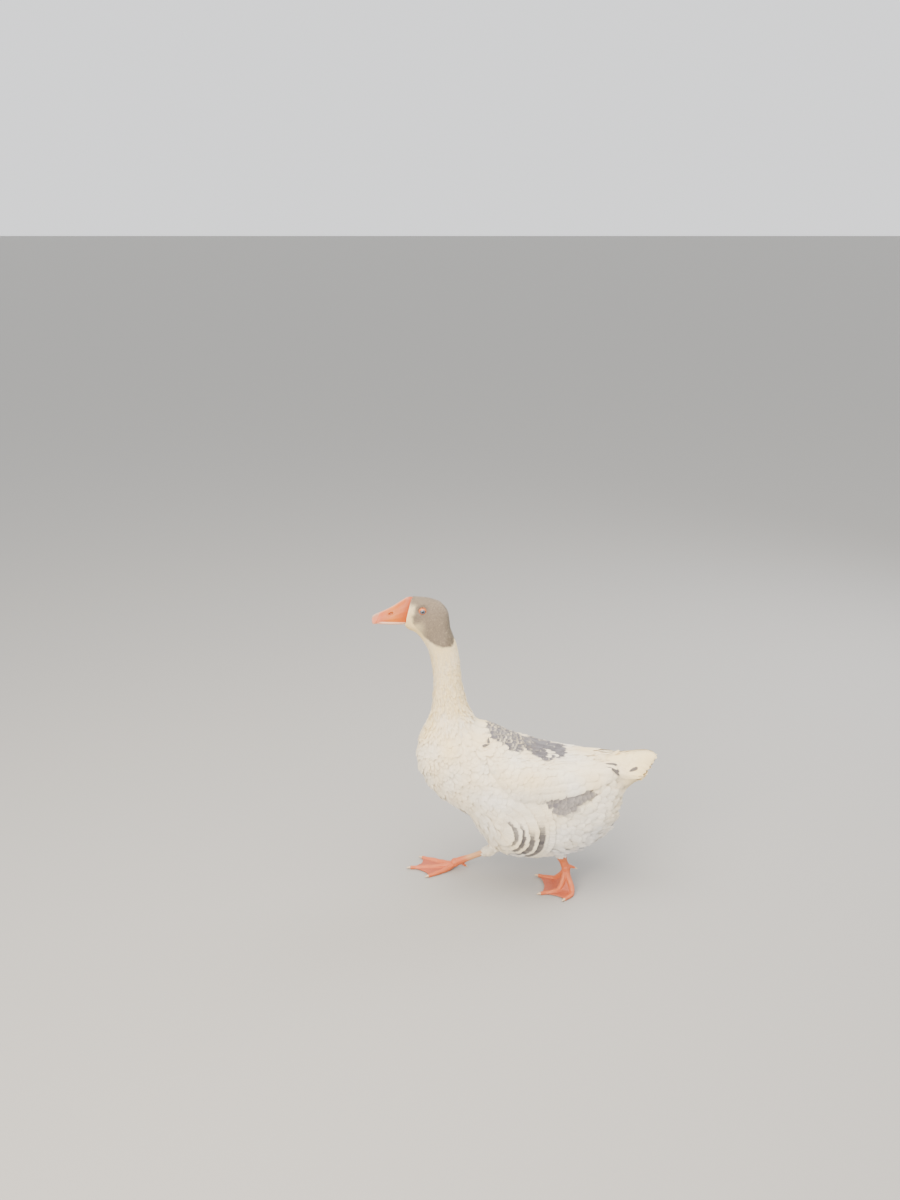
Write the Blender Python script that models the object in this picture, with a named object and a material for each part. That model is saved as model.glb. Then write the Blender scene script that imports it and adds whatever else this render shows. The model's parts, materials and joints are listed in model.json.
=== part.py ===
"""Domestic goose of a pied farmyard breed, life size, caught in mid stride: a still museum model.

The goose faces -Y, its left side is +X and up is +Z. The floor is z = 0, and the origin lies on it under
the middle of the goose's box. Sizes are metres. Neck and head stand up from the front of an egg-shaped
trunk. The right leg is set down in front, flat, and the left leg pushes off behind on curved toes.
"""
import math

import bmesh
import bpy
import numpy as np
from mathutils import Vector

# ---------------------------------------------------------------- driving dimensions
CLEARANCE = 0.0004        # left between two solids that touch
AROUND = 24               # points round a body section
STEPS = 2                 # rings from one body station to the next

# Body stations from rump to bill: (name, back y, back z, belly y, belly z, half width, cheek).
# A section joins its back point to its belly point; cheek above 0 makes its lower half the fuller one.
STATIONS = (
    ("tail_root",   0.2400, 0.2780, 0.2310, 0.2200, 0.0280, 0.00),
    ("vent_top",    0.2130, 0.2905, 0.2180, 0.1860, 0.0520, 0.00),
    ("vent",        0.1860, 0.2950, 0.2030, 0.1400, 0.0740, 0.02),
    ("paunch_back", 0.1550, 0.2975, 0.1680, 0.1040, 0.0900, 0.05),
    ("paunch",      0.1150, 0.3025, 0.1180, 0.0820, 0.1000, 0.06),
    ("loin",        0.0680, 0.3130, 0.0580, 0.0740, 0.1070, 0.06),
    ("ribs",        0.0200, 0.3310, 0.0000, 0.0750, 0.1090, 0.04),
    ("shoulder",   -0.0250, 0.3530, -0.0550, 0.0990, 0.1030, 0.00),
    ("keel_front", -0.0550, 0.3660, -0.1020, 0.1680, 0.0910, 0.00),
    ("crop",       -0.0700, 0.3715, -0.1660, 0.2120, 0.0790, 0.00),
    ("breast",     -0.0780, 0.3770, -0.2060, 0.2790, 0.0660, 0.00),
    ("neck_root",  -0.0850, 0.3870, -0.2020, 0.3400, 0.0510, 0.00),
    ("neck_low",   -0.0970, 0.4110, -0.1800, 0.3890, 0.0370, 0.00),
    ("neck_mid",   -0.1110, 0.4600, -0.1720, 0.4520, 0.0295, 0.00),
    ("neck_top",   -0.1165, 0.5120, -0.1750, 0.5060, 0.0275, 0.00),
    ("nape",       -0.1250, 0.5500, -0.1840, 0.5390, 0.0275, 0.00),
    ("occiput",    -0.1365, 0.5830, -0.1980, 0.5640, 0.0280, 0.05),
    ("cheek",      -0.1405, 0.6160, -0.2100, 0.5750, 0.0275, 0.10),
    ("crown",      -0.1580, 0.6380, -0.2180, 0.5780, 0.0258, 0.14),
    ("brow",       -0.1860, 0.6465, -0.2240, 0.5810, 0.0225, 0.14),
    ("bill_base",  -0.2135, 0.6480, -0.2290, 0.5880, 0.0180, 0.10),
)
NECK_FROM = "neck_root"
HEAD_FROM = "nape"
BODY_SQUARENESS = 2.15    # superellipse exponent of a body section; 2 is an ellipse

# Bill: stations from base to tip (culmen y, culmen z, edge y, edge z, half width).
UPPER_BILL = (
    (-0.2147, 0.6470, -0.2277, 0.5970, 0.0160),
    (-0.2245, 0.6460, -0.2340, 0.5960, 0.0162),
    (-0.2480, 0.6300, -0.2520, 0.5952, 0.0150),
    (-0.2710, 0.6175, -0.2715, 0.5950, 0.0132),
    (-0.2860, 0.6110, -0.2860, 0.5945, 0.0108),
    (-0.2922, 0.6070, -0.2922, 0.5925, 0.0075),
    (-0.2944, 0.6030, -0.2944, 0.5945, 0.0035),
)
LOWER_BILL_END = 0.93     # where along the upper bill the lower one stops
LOWER_BILL_DEPTH = 0.0062
LOWER_BILL_WIDTH = 0.86   # of the upper bill's width
BILL_LEAN = 0.30          # forward slope of the face that the bill grows from

EYE_RADIUS = 0.0072
EYE_Y = -0.1915
EYE_Z = 0.6225
EYE_SUNK = 0.0046         # from the cheek's surface in to the eye's centre

# Folded wings lie on the trunk, from the shoulder back to the rump.
WING_EDGE_HEIGHTS = (0.3300, 0.2620, 0.2430, 0.2430, 0.2470, 0.2560, 0.2680)   # lower edge, front to tip
WING_TOP_TURNS = (0.62, 0.20)     # upper edge's turn from the back's middle line, front and tip
WING_FRONT_Y = -0.070
WING_TIP_Y = 0.214
WING_THICK = 0.0135       # proud of the trunk at the fullest place
WING_EDGE = 0.0032        # thickness of the lower edge
WING_TOP_EDGE = 0.0012
WING_SUNK = 0.0040        # depth of the blank's inner side in the trunk, before it is trimmed
WING_ROWS = 14
WING_COLUMNS = 7

# Tail fan, roofed: the middle stands higher than the two edges.
TAIL_ROOT_Y = 0.200
TAIL_TIP_Y = 0.2944
TAIL_ROOT_HALF_WIDTH = 0.0430
TAIL_HALF_WIDTH = 0.0580
TAIL_RIDGE = (0.2970, 0.3045)     # height of the middle line at the root and the tip
TAIL_ROOF = (0.0160, 0.0340)      # how far the edges hang below it, root and tip
TAIL_SWEEP = 0.0320               # the outer feathers end this much short of the middle ones
TAIL_ROOT_THICK = 0.0880          # with the coverts below
TAIL_TIP_THICK = 0.0050

# Legs. Each foot: joint above the toes, then the inner, middle and outer toe tips in plan.
LEG_RADIUS = 0.0090
LEG_FLATTEN = 0.80        # the shank's width as a share of its depth
KNOB_RADIUS = 0.0102      # of the joint above the toes
STUB_LENGTH = 0.0200      # of shank that belongs to the foot
FLOOR_GAP = 0.0006        # between a claw and the floor
TOE_RADIUS = 0.0060
WEB_THICK = 0.0016
WEB_FROM = 0.10           # the web's start and end, as shares of the toes' length
WEB_TO = 0.97
CLAW_LENGTH = 0.0085
SOLE_CUT = 0.0006         # how far the flats are cut into the round toes
TOE_NAMES = ("inner", "middle", "outer")
LEFT_JOINT = (0.0270, 0.1115, 0.0440)
LEFT_TOES = ((-0.0100, 0.0560), (0.0620, 0.0560), (0.0850, 0.1045))
LEFT_ANKLE = (0.0300, 0.0800, 0.1300)
LEFT_SPUR = (0.0290, 0.1300, 0.0460)
RIGHT_JOINT = (-0.0465, -0.1260, 0.0140)
RIGHT_TOES = ((-0.0080, -0.1840), (-0.0430, -0.2240), (-0.0860, -0.1990))
RIGHT_ANKLE = (-0.0360, -0.0480, 0.0520)
RIGHT_SPUR = (-0.0460, -0.1020, 0.0060)
LEFT_SPREAD = ((-0.004, 0.006), (0.006, 0.011), (0.006, 0.015))     # sideways bow of each loaded toe
RIGHT_SPREAD = ((0.002, 0.0), (0.0, 0.0), (-0.002, 0.0))
HIND_TOE_RADII = (0.0042, 0.0038, 0.0032, 0.0025)
HIND_CLAW_LENGTH = 0.0060
LEFT_SHANK = (0.96, 1.25, 1.42, 1.46, 1.46, 1.46)      # radii from foot to ankle, as shares of LEG_RADIUS
RIGHT_SHANK = (0.90, 0.78, 0.68, 0.72, 1.02, 1.30)

# Feathered thighs: a swelling low on each flank, and the lower thigh that reaches out to the right ankle.
RIGHT_KNEE = (-0.0560, 0.0250, 0.1250)
STOCKING_RADII = (0.040, 0.036, 0.029, 0.022, 0.0155, 0.0125)       # knee to ankle
FLANK_CENTRE = (0.0800, 0.0220, 0.1760)
FLANK_RADII = (0.0335, 0.0700, 0.0660)

FINISHES = {              # slot: (colour, roughness)
    "white_plumage": ((0.87, 0.85, 0.78), 0.80),
    "grey_plumage": ((0.47, 0.44, 0.41), 0.80),
    "bill": ((0.93, 0.42, 0.16), 0.35),
    "leg": ((0.88, 0.43, 0.30), 0.50),
    "claw": ((0.84, 0.72, 0.55), 0.40),
    "eye": ((0.10, 0.13, 0.20), 0.08),
}


# ---------------------------------------------------------------- small tools
def clear_scene():
    for ob in list(bpy.data.objects):
        bpy.data.objects.remove(ob, do_unlink=True)


def make_material(slot):
    colour, roughness = FINISHES[slot]
    material = bpy.data.materials.new(slot)
    material.use_nodes = True
    shader = material.node_tree.nodes["Principled BSDF"]
    shader.inputs["Base Color"].default_value = (*colour, 1.0)
    shader.inputs["Roughness"].default_value = roughness
    shader.inputs["Metallic"].default_value = 0.0
    return material


def new_object(name, bm, slot=None):
    """Object from a bmesh: faces made flat triangles and turned outwards, smooth, linked to the scene."""
    bmesh.ops.triangulate(bm, faces=bm.faces[:])
    bmesh.ops.recalc_face_normals(bm, faces=bm.faces[:])
    mesh = bpy.data.meshes.new(name)
    bm.to_mesh(mesh)
    bm.free()
    mesh.shade_smooth()
    ob = bpy.data.objects.new(name, mesh)
    bpy.context.scene.collection.objects.link(ob)
    if slot:
        mesh.materials.append(bpy.data.materials[slot])
    return ob


def as_cutter(ob):
    ob.hide_render = True
    ob.display_type = "WIRE"
    return ob


def combine(ob, other, operation):
    """Add an exact Boolean of another object, which is then only a tool."""
    modifier = ob.modifiers.new(operation.lower(), "BOOLEAN")
    modifier.operation = operation
    modifier.solver = "EXACT"
    modifier.object = as_cutter(other)
    return ob


def loft(name, rings, slot=None):
    """Closed solid through rings of points; a ring of one point is a pole, other ends get flat caps."""
    bm = bmesh.new()
    rows = [[bm.verts.new(point) for point in ring] for ring in rings]
    for near, far in zip(rows, rows[1:]):
        count = max(len(near), len(far))
        for i in range(count):
            j = (i + 1) % count
            corners = [near[i % len(near)], near[j % len(near)], far[j % len(far)], far[i % len(far)]]
            bm.faces.new(list(dict.fromkeys(corners)))
    for end in (rows[0], rows[-1]):
        if len(end) > 2:
            bm.faces.new(end)
    return new_object(name, bm, slot)


def inflated(ob, name, distance):
    """Copy of an object with each vertex moved out along its normal."""
    copy = bpy.data.objects.new(name, ob.data.copy())
    bpy.context.scene.collection.objects.link(copy)
    normals = [vertex.normal.copy() for vertex in copy.data.vertices]
    for vertex, normal in zip(copy.data.vertices, normals):
        vertex.co += normal * distance
    return as_cutter(copy)


def smooth_row(table, t):
    """Row of a table at the real-numbered place t, on a Catmull-Rom curve through the rows."""
    table = np.asarray(table, dtype=float)
    last = len(table) - 1
    i = min(int(math.floor(t)), last - 1)
    f = t - i
    p0, p1, p2, p3 = (table[min(max(k, 0), last)] for k in (i - 1, i, i + 1, i + 2))
    return 0.5 * (2 * p1 + (p2 - p0) * f + (2 * p0 - 5 * p1 + 4 * p2 - p3) * f ** 2
                  + (3 * p1 - p0 - 3 * p2 + p3) * f ** 3)


def ease(f):
    """0 to 1 with level ends."""
    f = min(max(f, 0.0), 1.0)
    return f * f * (3 - 2 * f)


def mix(a, b, f):
    return a + (b - a) * f


# ---------------------------------------------------------------- head, neck and trunk
BODY_TABLE = [station[1:] for station in STATIONS]
STATION_INDEX = {station[0]: i for i, station in enumerate(STATIONS)}


def body_point(t, turn, out=0.0):
    """Point of the body at station place t; turn is 0 on the back, half a circle on the belly."""
    back_y, back_z, belly_y, belly_z, half_width, cheek = smooth_row(BODY_TABLE, t)
    middle = np.array([0.0, (back_y + belly_y) / 2, (back_z + belly_z) / 2])
    rise = np.array([0.0, back_y - belly_y, back_z - belly_z]) / 2
    power = 2.0 / BODY_SQUARENESS
    up = math.copysign(abs(math.cos(turn)) ** power, math.cos(turn))
    side = math.copysign(abs(math.sin(turn)) ** power, math.sin(turn))
    half_depth = np.linalg.norm(rise)
    width = half_width * (1 - cheek * up) + out
    return middle + rise * up * (1 + out / half_depth) + np.array([side * width, 0.0, 0.0])


def body_ring(t, shift=0.0):
    """Section of the body at place t, moved by shift towards the head, square to its own plane."""
    back_y, back_z, belly_y, belly_z = smooth_row(BODY_TABLE, t)[:4]
    forward = np.array([0.0, -(back_z - belly_z), back_y - belly_y])
    forward /= np.linalg.norm(forward)
    turns = [2 * math.pi * (i + 0.5) / AROUND for i in range(AROUND)]
    return [body_point(t, turn) + forward * shift for turn in turns]


def body_length(name, slot, first, last, front_gap=0.0):
    """Solid of the body from one named station to another; front_gap opens a cut at its first end."""
    start, stop = STATION_INDEX[first], STATION_INDEX[last]
    places = [start + i / STEPS for i in range((stop - start) * STEPS + 1)]
    rings = [body_ring(t, front_gap if i == 0 else 0.0) for i, t in enumerate(places)]
    return loft(name, rings, slot)


def turn_at_height(t, height):
    """Turn on the left side of the section at place t where the surface stands at this height."""
    low, high = 0.05, math.pi - 0.05
    for _ in range(30):
        middle = (low + high) / 2
        if body_point(t, middle)[2] > height:
            low = middle
        else:
            high = middle
    return (low + high) / 2


def place_at_y(y, height):
    """Station place where the trunk's left side, at this height, stands at this y."""
    low, high = 0.0, float(STATION_INDEX["breast"])
    for _ in range(30):
        middle = (low + high) / 2
        if body_point(middle, turn_at_height(middle, height))[1] > y:
            low = middle
        else:
            high = middle
    return (low + high) / 2


def surface_x(y, z, first, last):
    """Half width of the body at a height and a y, searched between two stations."""
    best = min((abs(body_point(t, turn)[1] - y) + abs(body_point(t, turn)[2] - z), body_point(t, turn)[0])
               for t in np.linspace(STATION_INDEX[first], STATION_INDEX[last], 60)
               for turn in np.linspace(0.2, 2.6, 60))
    return best[1]


# ---------------------------------------------------------------- wings
def wing_lower_edge(f):
    """Height of the folded wing's lower edge; f is 0 at the shoulder and 1 at the tip."""
    heights = np.reshape(WING_EDGE_HEIGHTS, (-1, 1))
    return smooth_row(heights, f * (len(heights) - 1))[0]


def wing_blank(side):
    """Wing as a closed pad: outer side proud of the trunk, inner side sunk into it."""
    rings = []
    for i in range(WING_ROWS + 1):
        f = i / WING_ROWS
        y = mix(WING_FRONT_Y, WING_TIP_Y, f)
        low_height = wing_lower_edge(f)
        t = place_at_y(y, low_height)
        low_turn = turn_at_height(t, low_height)
        high_turn = mix(*WING_TOP_TURNS, ease(f))
        body = ease(f / 0.30) * (1 - 0.60 * ease((f - 0.30) / 0.65))
        outer, inner = [], []
        for j in range(WING_COLUMNS + 1):
            g = j / WING_COLUMNS
            turn = mix(high_turn, low_turn, g)
            fullness = math.sin(math.pi * g)
            edge = mix(WING_TOP_EDGE, WING_EDGE, g ** 2)
            outer.append(body_point(t, turn, edge + WING_THICK * body * fullness))
            inner.append(body_point(t, turn, -WING_SUNK))
        rings.append([np.array([side * p[0], p[1], p[2]]) for p in outer + inner[::-1]])
    return rings


def make_wing(name, side, clearance_body):
    wing = loft(name, wing_blank(side), "white_plumage")
    return combine(wing, clearance_body, "DIFFERENCE")


# ---------------------------------------------------------------- tail
def tail_point(u, v, lower):
    """Point of the tail fan; u is 0 at the root and 1 at the tip, v runs from -1 to 1 across."""
    end_y = TAIL_TIP_Y - TAIL_SWEEP * abs(v) ** 1.6
    y = mix(TAIL_ROOT_Y, end_y, u)
    x = v * mix(TAIL_ROOT_HALF_WIDTH, TAIL_HALF_WIDTH, ease(u * 1.1))
    tip_droop = 0.004 * max(0.0, u - 0.85) / 0.15
    z = mix(*TAIL_RIDGE, ease(u)) - tip_droop - mix(*TAIL_ROOF, u) * v * v
    if lower:
        middle = mix(TAIL_ROOT_THICK, TAIL_TIP_THICK, min(1.0, u * 1.06) ** 1.5)
        z -= mix(middle, min(middle, TAIL_TIP_THICK), v ** 4)
    return (x, y, z)


def make_tail(clearance_body):
    rings = []
    rows, columns = 7, 12
    across = [-1 + 2 * j / columns for j in range(columns + 1)]
    for i in range(rows + 1):
        u = i / rows
        ring = [tail_point(u, v, False) for v in across] + [tail_point(u, v, True) for v in reversed(across)]
        rings.append(ring)
    tail = loft("tail", rings, "white_plumage")
    return combine(tail, clearance_body, "DIFFERENCE")


# ---------------------------------------------------------------- bill and eyes
def bill_ring(row, points, width=1.0, top=1.0, bottom=0.0):
    """Section of the bill, a dome over a level edge; top and bottom are shares of its height."""
    culmen_y, culmen_z, edge_y, edge_z, half_width = row
    culmen = np.array([0.0, culmen_y, culmen_z])
    edge = np.array([0.0, edge_y, edge_z])
    ring = []
    for i in range(points):
        turn = math.pi * i / (points - 1)
        x = half_width * width * math.cos(turn) * (1 - 0.18 * math.sin(turn))
        rise = mix(bottom, top, math.sin(turn) ** 0.9)
        ring.append(mix(edge, culmen, rise) + np.array([x, 0.0, 0.0]))
    return ring


def make_upper_bill():
    count = (len(UPPER_BILL) - 1) * 2
    rings = [bill_ring(smooth_row(UPPER_BILL, i / 2), 15) for i in range(count + 1)]
    return loft("upper_bill", rings, "bill")


def make_lower_bill():
    """Shallow trough under the upper bill's edge, from the gape to inside the nail's hook."""
    rings = []
    steps = 9
    for i in range(steps + 1):
        f = i / steps
        row = smooth_row(UPPER_BILL, f * LOWER_BILL_END * (len(UPPER_BILL) - 1))
        edge_y, edge_z, half_width = row[2:]
        top = edge_z - CLEARANCE
        depth = mix(LOWER_BILL_DEPTH, 0.0022, f ** 1.5)
        half_width *= LOWER_BILL_WIDTH
        lean = mix(BILL_LEAN, 0.0, f)
        ring = []
        for k in range(11):
            turn = math.pi * k / 10
            drop = depth * math.sin(turn)
            ring.append((half_width * math.cos(turn), edge_y - drop * lean, top - drop))
        rings.append(ring)
    return loft("lower_bill", rings, "bill")


def make_ball(name, centre, radius, slot=None, across=14):
    bm = bmesh.new()
    bmesh.ops.create_uvsphere(bm, u_segments=across, v_segments=across // 2, radius=radius)
    bmesh.ops.translate(bm, vec=centre, verts=bm.verts[:])
    return new_object(name, bm, slot)


def make_eyes(head):
    x = surface_x(EYE_Y, EYE_Z, "cheek", "bill_base") - EYE_SUNK
    for name, side in (("eye_left", 1), ("eye_right", -1)):
        centre = (side * x, EYE_Y, EYE_Z)
        make_ball(name, centre, EYE_RADIUS, "eye")
        socket = make_ball("guide_socket_" + name, centre, EYE_RADIUS + CLEARANCE)
        combine(head, socket, "DIFFERENCE")


# ---------------------------------------------------------------- legs and feet
def tube(name, path, radii, slot=None, sides=10, flatten=1.0):
    """Closed tube along a path of points; flatten scales its radius across the level direction."""
    path = [Vector(p) for p in path]
    rings = []
    for i, point in enumerate(path):
        ahead = path[min(i + 1, len(path) - 1)] - path[max(i - 1, 0)]
        ahead.normalize()
        level = ahead.cross(Vector((0, 0, 1)))
        level = level.normalized() if level.length > 0.02 else Vector((1, 0, 0))
        over = level.cross(ahead).normalized()
        rings.append([point + (level * math.cos(a) * flatten + over * math.sin(a)) * radii[i]
                      for a in (2 * math.pi * (k + 0.5) / sides for k in range(sides))])
    return loft(name, rings, slot)


def toe_path(joint, tip, count):
    """Centre line of a toe: down from the joint to the floor, then along it to the claw."""
    joint = Vector(joint)
    landing = 0.62 if joint.z > 0.03 else 0.30
    points = []
    for i in range(count):
        f = i / (count - 1)
        x = mix(joint.x, tip[0], f)
        y = mix(joint.y, tip[1], f)
        radius = toe_radius(f)
        fall = max(0.0, 1 - f / landing) ** 1.7
        points.append(Vector((x, y, radius - SOLE_CUT + (joint.z - TOE_RADIUS) * fall)))
    return points


def toe_radius(f):
    """Toe's half thickness from the joint, 0, to the claw, 1, with a swelling at each knuckle."""
    return TOE_RADIUS * mix(1.08, 0.62, f) * (1 + 0.07 * math.cos(f * 6 * math.pi))


def bowed_toe(joint, tip, bow, count=9):
    """Toe path whose middle is pushed sideways in plan, as in a foot that bears weight."""
    path = toe_path(joint, tip, count)
    for i, point in enumerate(path):
        f = i / (count - 1)
        push = math.sin(math.pi * f) ** 1.3
        point.x += bow[0] * push
        point.y += bow[1] * push
    return path


def make_web(name, path_a, path_b):
    """Skin between two toes, closed and thin, with a hollow outer edge."""
    count = len(path_a)
    across = 4
    upper, lower = [], []
    for j in range(across + 1):
        g = j / across
        reach = 1 - 0.11 * math.sin(math.pi * g)
        row = []
        for i in range(count):
            f = mix(WEB_FROM, reach * WEB_TO, i / (count - 1))
            k = min(int(f * (count - 1)), count - 2)
            part = f * (count - 1) - k
            a = path_a[k].lerp(path_a[k + 1], part)
            b = path_b[k].lerp(path_b[k + 1], part)
            point = a.lerp(b, g)
            sag = math.sin(math.pi * g) * 0.0015 * math.sin(math.pi * min(1.0, f))
            row.append(Vector((point.x, point.y, max(point.z - sag, WEB_THICK * 0.5))))
        upper.append([p + Vector((0, 0, WEB_THICK / 2)) for p in row])
        lower.append([p - Vector((0, 0, WEB_THICK / 2)) for p in row])
    rings = [top + bottom[::-1] for top, bottom in zip(upper, lower)]
    return loft(name, rings)


def make_claw(name, tip, before, toe_end_radius, length):
    """Curved claw that carries a toe on beyond its end cap, just clear of the floor."""
    ahead = (tip - before).normalized()
    start = tip + ahead * CLEARANCE
    path, radii = [], []
    for i in range(5):
        f = i / 4
        drop = 0.13 * length * f * f
        path.append(start + ahead * length * f - Vector((0, 0, drop)))
        radii.append(toe_end_radius * mix(0.78, 0.16, f ** 1.2))
    low = min(p.z - r for p, r in zip(path, radii))
    lift = Vector((0, 0, max(0.0, FLOOR_GAP - low)))
    return tube(name, [p + lift for p in path], radii, "claw", sides=8)


def make_foot(side_name, joint, toes, ankle, spur, spread):
    """Foot in one piece: three webbed toes, the joint's knob, a stub of the shank, and the hind toe."""
    joint, ankle, spur = Vector(joint), Vector(ankle), Vector(spur)
    paths = [bowed_toe(joint, tip, bow) for tip, bow in zip(toes, spread)]
    count = len(paths[0])
    radii = [toe_radius(i / (count - 1)) for i in range(count)]
    foot = make_ball("foot_" + side_name, joint, KNOB_RADIUS, "leg", across=10)
    tools = []
    for i, path in enumerate(paths):
        inside_knob = path[0].lerp(path[1], 0.3)
        tools.append(tube(f"guide_toe_{side_name}_{i}", [inside_knob] + path[1:], radii, sides=8))
    tools += [make_web(f"guide_web_{side_name}_{i}", paths[i], paths[i + 1]) for i in (0, 1)]
    up = (ankle - joint).normalized()
    stub_end = joint + up * STUB_LENGTH
    stub = [joint + up * 0.002, stub_end]
    radii = [LEG_RADIUS, LEG_RADIUS * 0.93]
    tools.append(tube(f"guide_stub_{side_name}", stub, radii, sides=12, flatten=LEG_FLATTEN))
    root = joint + up * 0.010
    hind = [root.lerp(spur, f) for f in (0.0, 0.35, 0.7, 1.0)]
    tools.append(tube(f"guide_hind_{side_name}", hind, HIND_TOE_RADII, sides=6))
    for tool in tools:
        combine(foot, tool, "UNION")
    combine(foot, make_floor_cutter("guide_floor_" + side_name), "DIFFERENCE")
    for toe_name, path in zip(TOE_NAMES, paths):
        make_claw(f"claw_{side_name}_{toe_name}", path[-1], path[-2], toe_radius(1.0), CLAW_LENGTH)
    make_claw(f"claw_{side_name}_hind", hind[-1], hind[-2], HIND_TOE_RADII[-1], HIND_CLAW_LENGTH)
    return stub_end


def make_floor_cutter(name):
    bm = bmesh.new()
    bmesh.ops.create_cube(bm, size=1.0)
    bmesh.ops.translate(bm, vec=(0, 0, -0.5), verts=bm.verts[:])
    return new_object(name, bm)


def make_shank(side_name, low, ankle, shares, clearance_body):
    """Scaled leg from the foot's stub to the ankle, deeper from front to back than it is wide."""
    ankle = Vector(ankle)
    ahead = (ankle - low).normalized()
    start = low + ahead * CLEARANCE
    path = [start.lerp(ankle, f) for f in (0.0, 0.15, 0.4, 0.65, 0.85, 1.0)]
    radii = [LEG_RADIUS * share for share in shares]
    shank = tube("shank_" + side_name, path, radii, "leg", sides=12, flatten=LEG_FLATTEN)
    return combine(shank, clearance_body, "DIFFERENCE")


def make_flank(side_name, side):
    """Feathered thigh as it shows on a goose: a full swelling low on the flank, under the wing."""
    bm = bmesh.new()
    bmesh.ops.create_uvsphere(bm, u_segments=16, v_segments=10, radius=1.0)
    bmesh.ops.scale(bm, vec=FLANK_RADII, verts=bm.verts[:])
    centre = (side * FLANK_CENTRE[0], FLANK_CENTRE[1], FLANK_CENTRE[2])
    bmesh.ops.translate(bm, vec=centre, verts=bm.verts[:])
    return new_object("thigh_" + side_name, bm, "white_plumage")


def make_stocking(thigh, knee, ankle):
    """Feathered lower thigh that leaves the belly and narrows to the ankle, joined to the flank."""
    knee, ankle = Vector(knee), Vector(ankle)
    stop = ankle + (ankle - knee).normalized() * 0.003
    shares = (0.0, 0.25, 0.5, 0.70, 0.86, 1.0)
    path = [knee.lerp(stop, f) for f in shares]
    return combine(thigh, tube("guide_stocking", path, STOCKING_RADII, sides=16), "UNION")


# ---------------------------------------------------------------- assembly
def main():
    clear_scene()
    for slot in FINISHES:
        make_material(slot)

    trunk = body_length("trunk", "white_plumage", STATIONS[0][0], NECK_FROM)
    body_length("neck", "white_plumage", NECK_FROM, HEAD_FROM, CLEARANCE)
    head = body_length("head", "grey_plumage", HEAD_FROM, STATIONS[-1][0], CLEARANCE)
    clearance_body = inflated(trunk, "guide_clearance", CLEARANCE)

    tail = make_tail(clearance_body)
    for name, side in (("wing_left", 1), ("wing_right", -1)):
        wing = make_wing(name, side, clearance_body)
        combine(tail, inflated(wing, "guide_clearance_" + name, CLEARANCE), "DIFFERENCE")

    make_upper_bill()
    make_lower_bill()
    make_eyes(head)

    thigh_left = make_flank("left", 1)
    thigh_right = make_stocking(make_flank("right", -1), RIGHT_KNEE, RIGHT_ANKLE)
    for thigh in (thigh_left, thigh_right):
        combine(thigh, clearance_body, "DIFFERENCE")

    legs = (
        ("left", LEFT_JOINT, LEFT_TOES, LEFT_ANKLE, LEFT_SPUR, LEFT_SPREAD, LEFT_SHANK),
        ("right", RIGHT_JOINT, RIGHT_TOES, RIGHT_ANKLE, RIGHT_SPUR, RIGHT_SPREAD, RIGHT_SHANK),
    )
    for side_name, joint, toes, ankle, spur, spread, shares in legs:
        low = make_foot(side_name, joint, toes, ankle, spur, spread)
        shank = make_shank(side_name, low, ankle, shares, clearance_body)
    combine(thigh_right, inflated(shank, "guide_ankle_clearance", CLEARANCE), "DIFFERENCE")


main()
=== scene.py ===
"""Looks of the walking farmyard goose: one skin, a coat of mesh feathers, bill, eyes, legs and claws.

The goose faces -Y, its left side is +X, up is +Z, sizes are metres. The solids give the outline out to the
feather tips. The skin lies inside that outline by the coat's depth, and the feathers fill the space between:
small ones are set on the skin by Geometry Nodes, long ones are laid along the outline one by one.
"""

import itertools
import json
import math

import bmesh
import bpy
import numpy as np
from mathutils import Matrix, Vector, noise
from mathutils.bvhtree import BVHTree
from mathutils.kdtree import KDTree

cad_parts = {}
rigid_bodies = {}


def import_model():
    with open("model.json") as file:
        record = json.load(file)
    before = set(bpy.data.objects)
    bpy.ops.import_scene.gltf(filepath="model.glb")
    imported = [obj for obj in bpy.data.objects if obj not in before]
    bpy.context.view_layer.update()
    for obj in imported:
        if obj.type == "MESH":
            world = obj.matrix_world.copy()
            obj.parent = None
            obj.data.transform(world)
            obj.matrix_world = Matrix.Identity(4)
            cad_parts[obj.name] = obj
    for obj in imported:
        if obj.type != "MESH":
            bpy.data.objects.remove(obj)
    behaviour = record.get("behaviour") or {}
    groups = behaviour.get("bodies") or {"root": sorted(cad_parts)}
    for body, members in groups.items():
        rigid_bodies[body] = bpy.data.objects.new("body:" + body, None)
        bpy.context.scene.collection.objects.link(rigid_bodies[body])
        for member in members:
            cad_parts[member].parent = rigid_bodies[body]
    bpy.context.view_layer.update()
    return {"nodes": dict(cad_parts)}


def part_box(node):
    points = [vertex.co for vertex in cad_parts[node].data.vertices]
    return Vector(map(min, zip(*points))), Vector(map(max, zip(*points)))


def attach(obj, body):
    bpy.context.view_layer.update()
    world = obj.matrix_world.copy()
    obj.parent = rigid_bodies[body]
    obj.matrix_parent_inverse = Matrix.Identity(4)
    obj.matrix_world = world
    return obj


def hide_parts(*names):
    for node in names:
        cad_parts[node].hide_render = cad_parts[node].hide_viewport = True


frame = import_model()
NODES = frame["nodes"]
MM = 0.001


def corners(*nodes):
    """Lowest and highest corner of some CAD nodes together."""
    found = [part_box(name) for name in nodes]
    return np.min([low for low, high in found], axis=0), np.max([high for low, high in found], axis=0)


HEAD_LOW, HEAD_HIGH = corners("head")
NECK_LOW, NECK_HIGH = corners("neck")
TAIL_LOW, TAIL_HIGH = corners("tail")
WING_LOW, WING_HIGH = corners("wing_left")
BILL_LOW, BILL_HIGH = corners("upper_bill")
EYE_CENTRE = np.mean(corners("eye_left"), axis=0)
EYE_RADIUS = (corners("eye_left")[1][1] - corners("eye_left")[0][1]) / 2
FLESH = ("head", "neck", "trunk", "tail", "wing_left", "wing_right", "thigh_left", "thigh_right")

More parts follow.
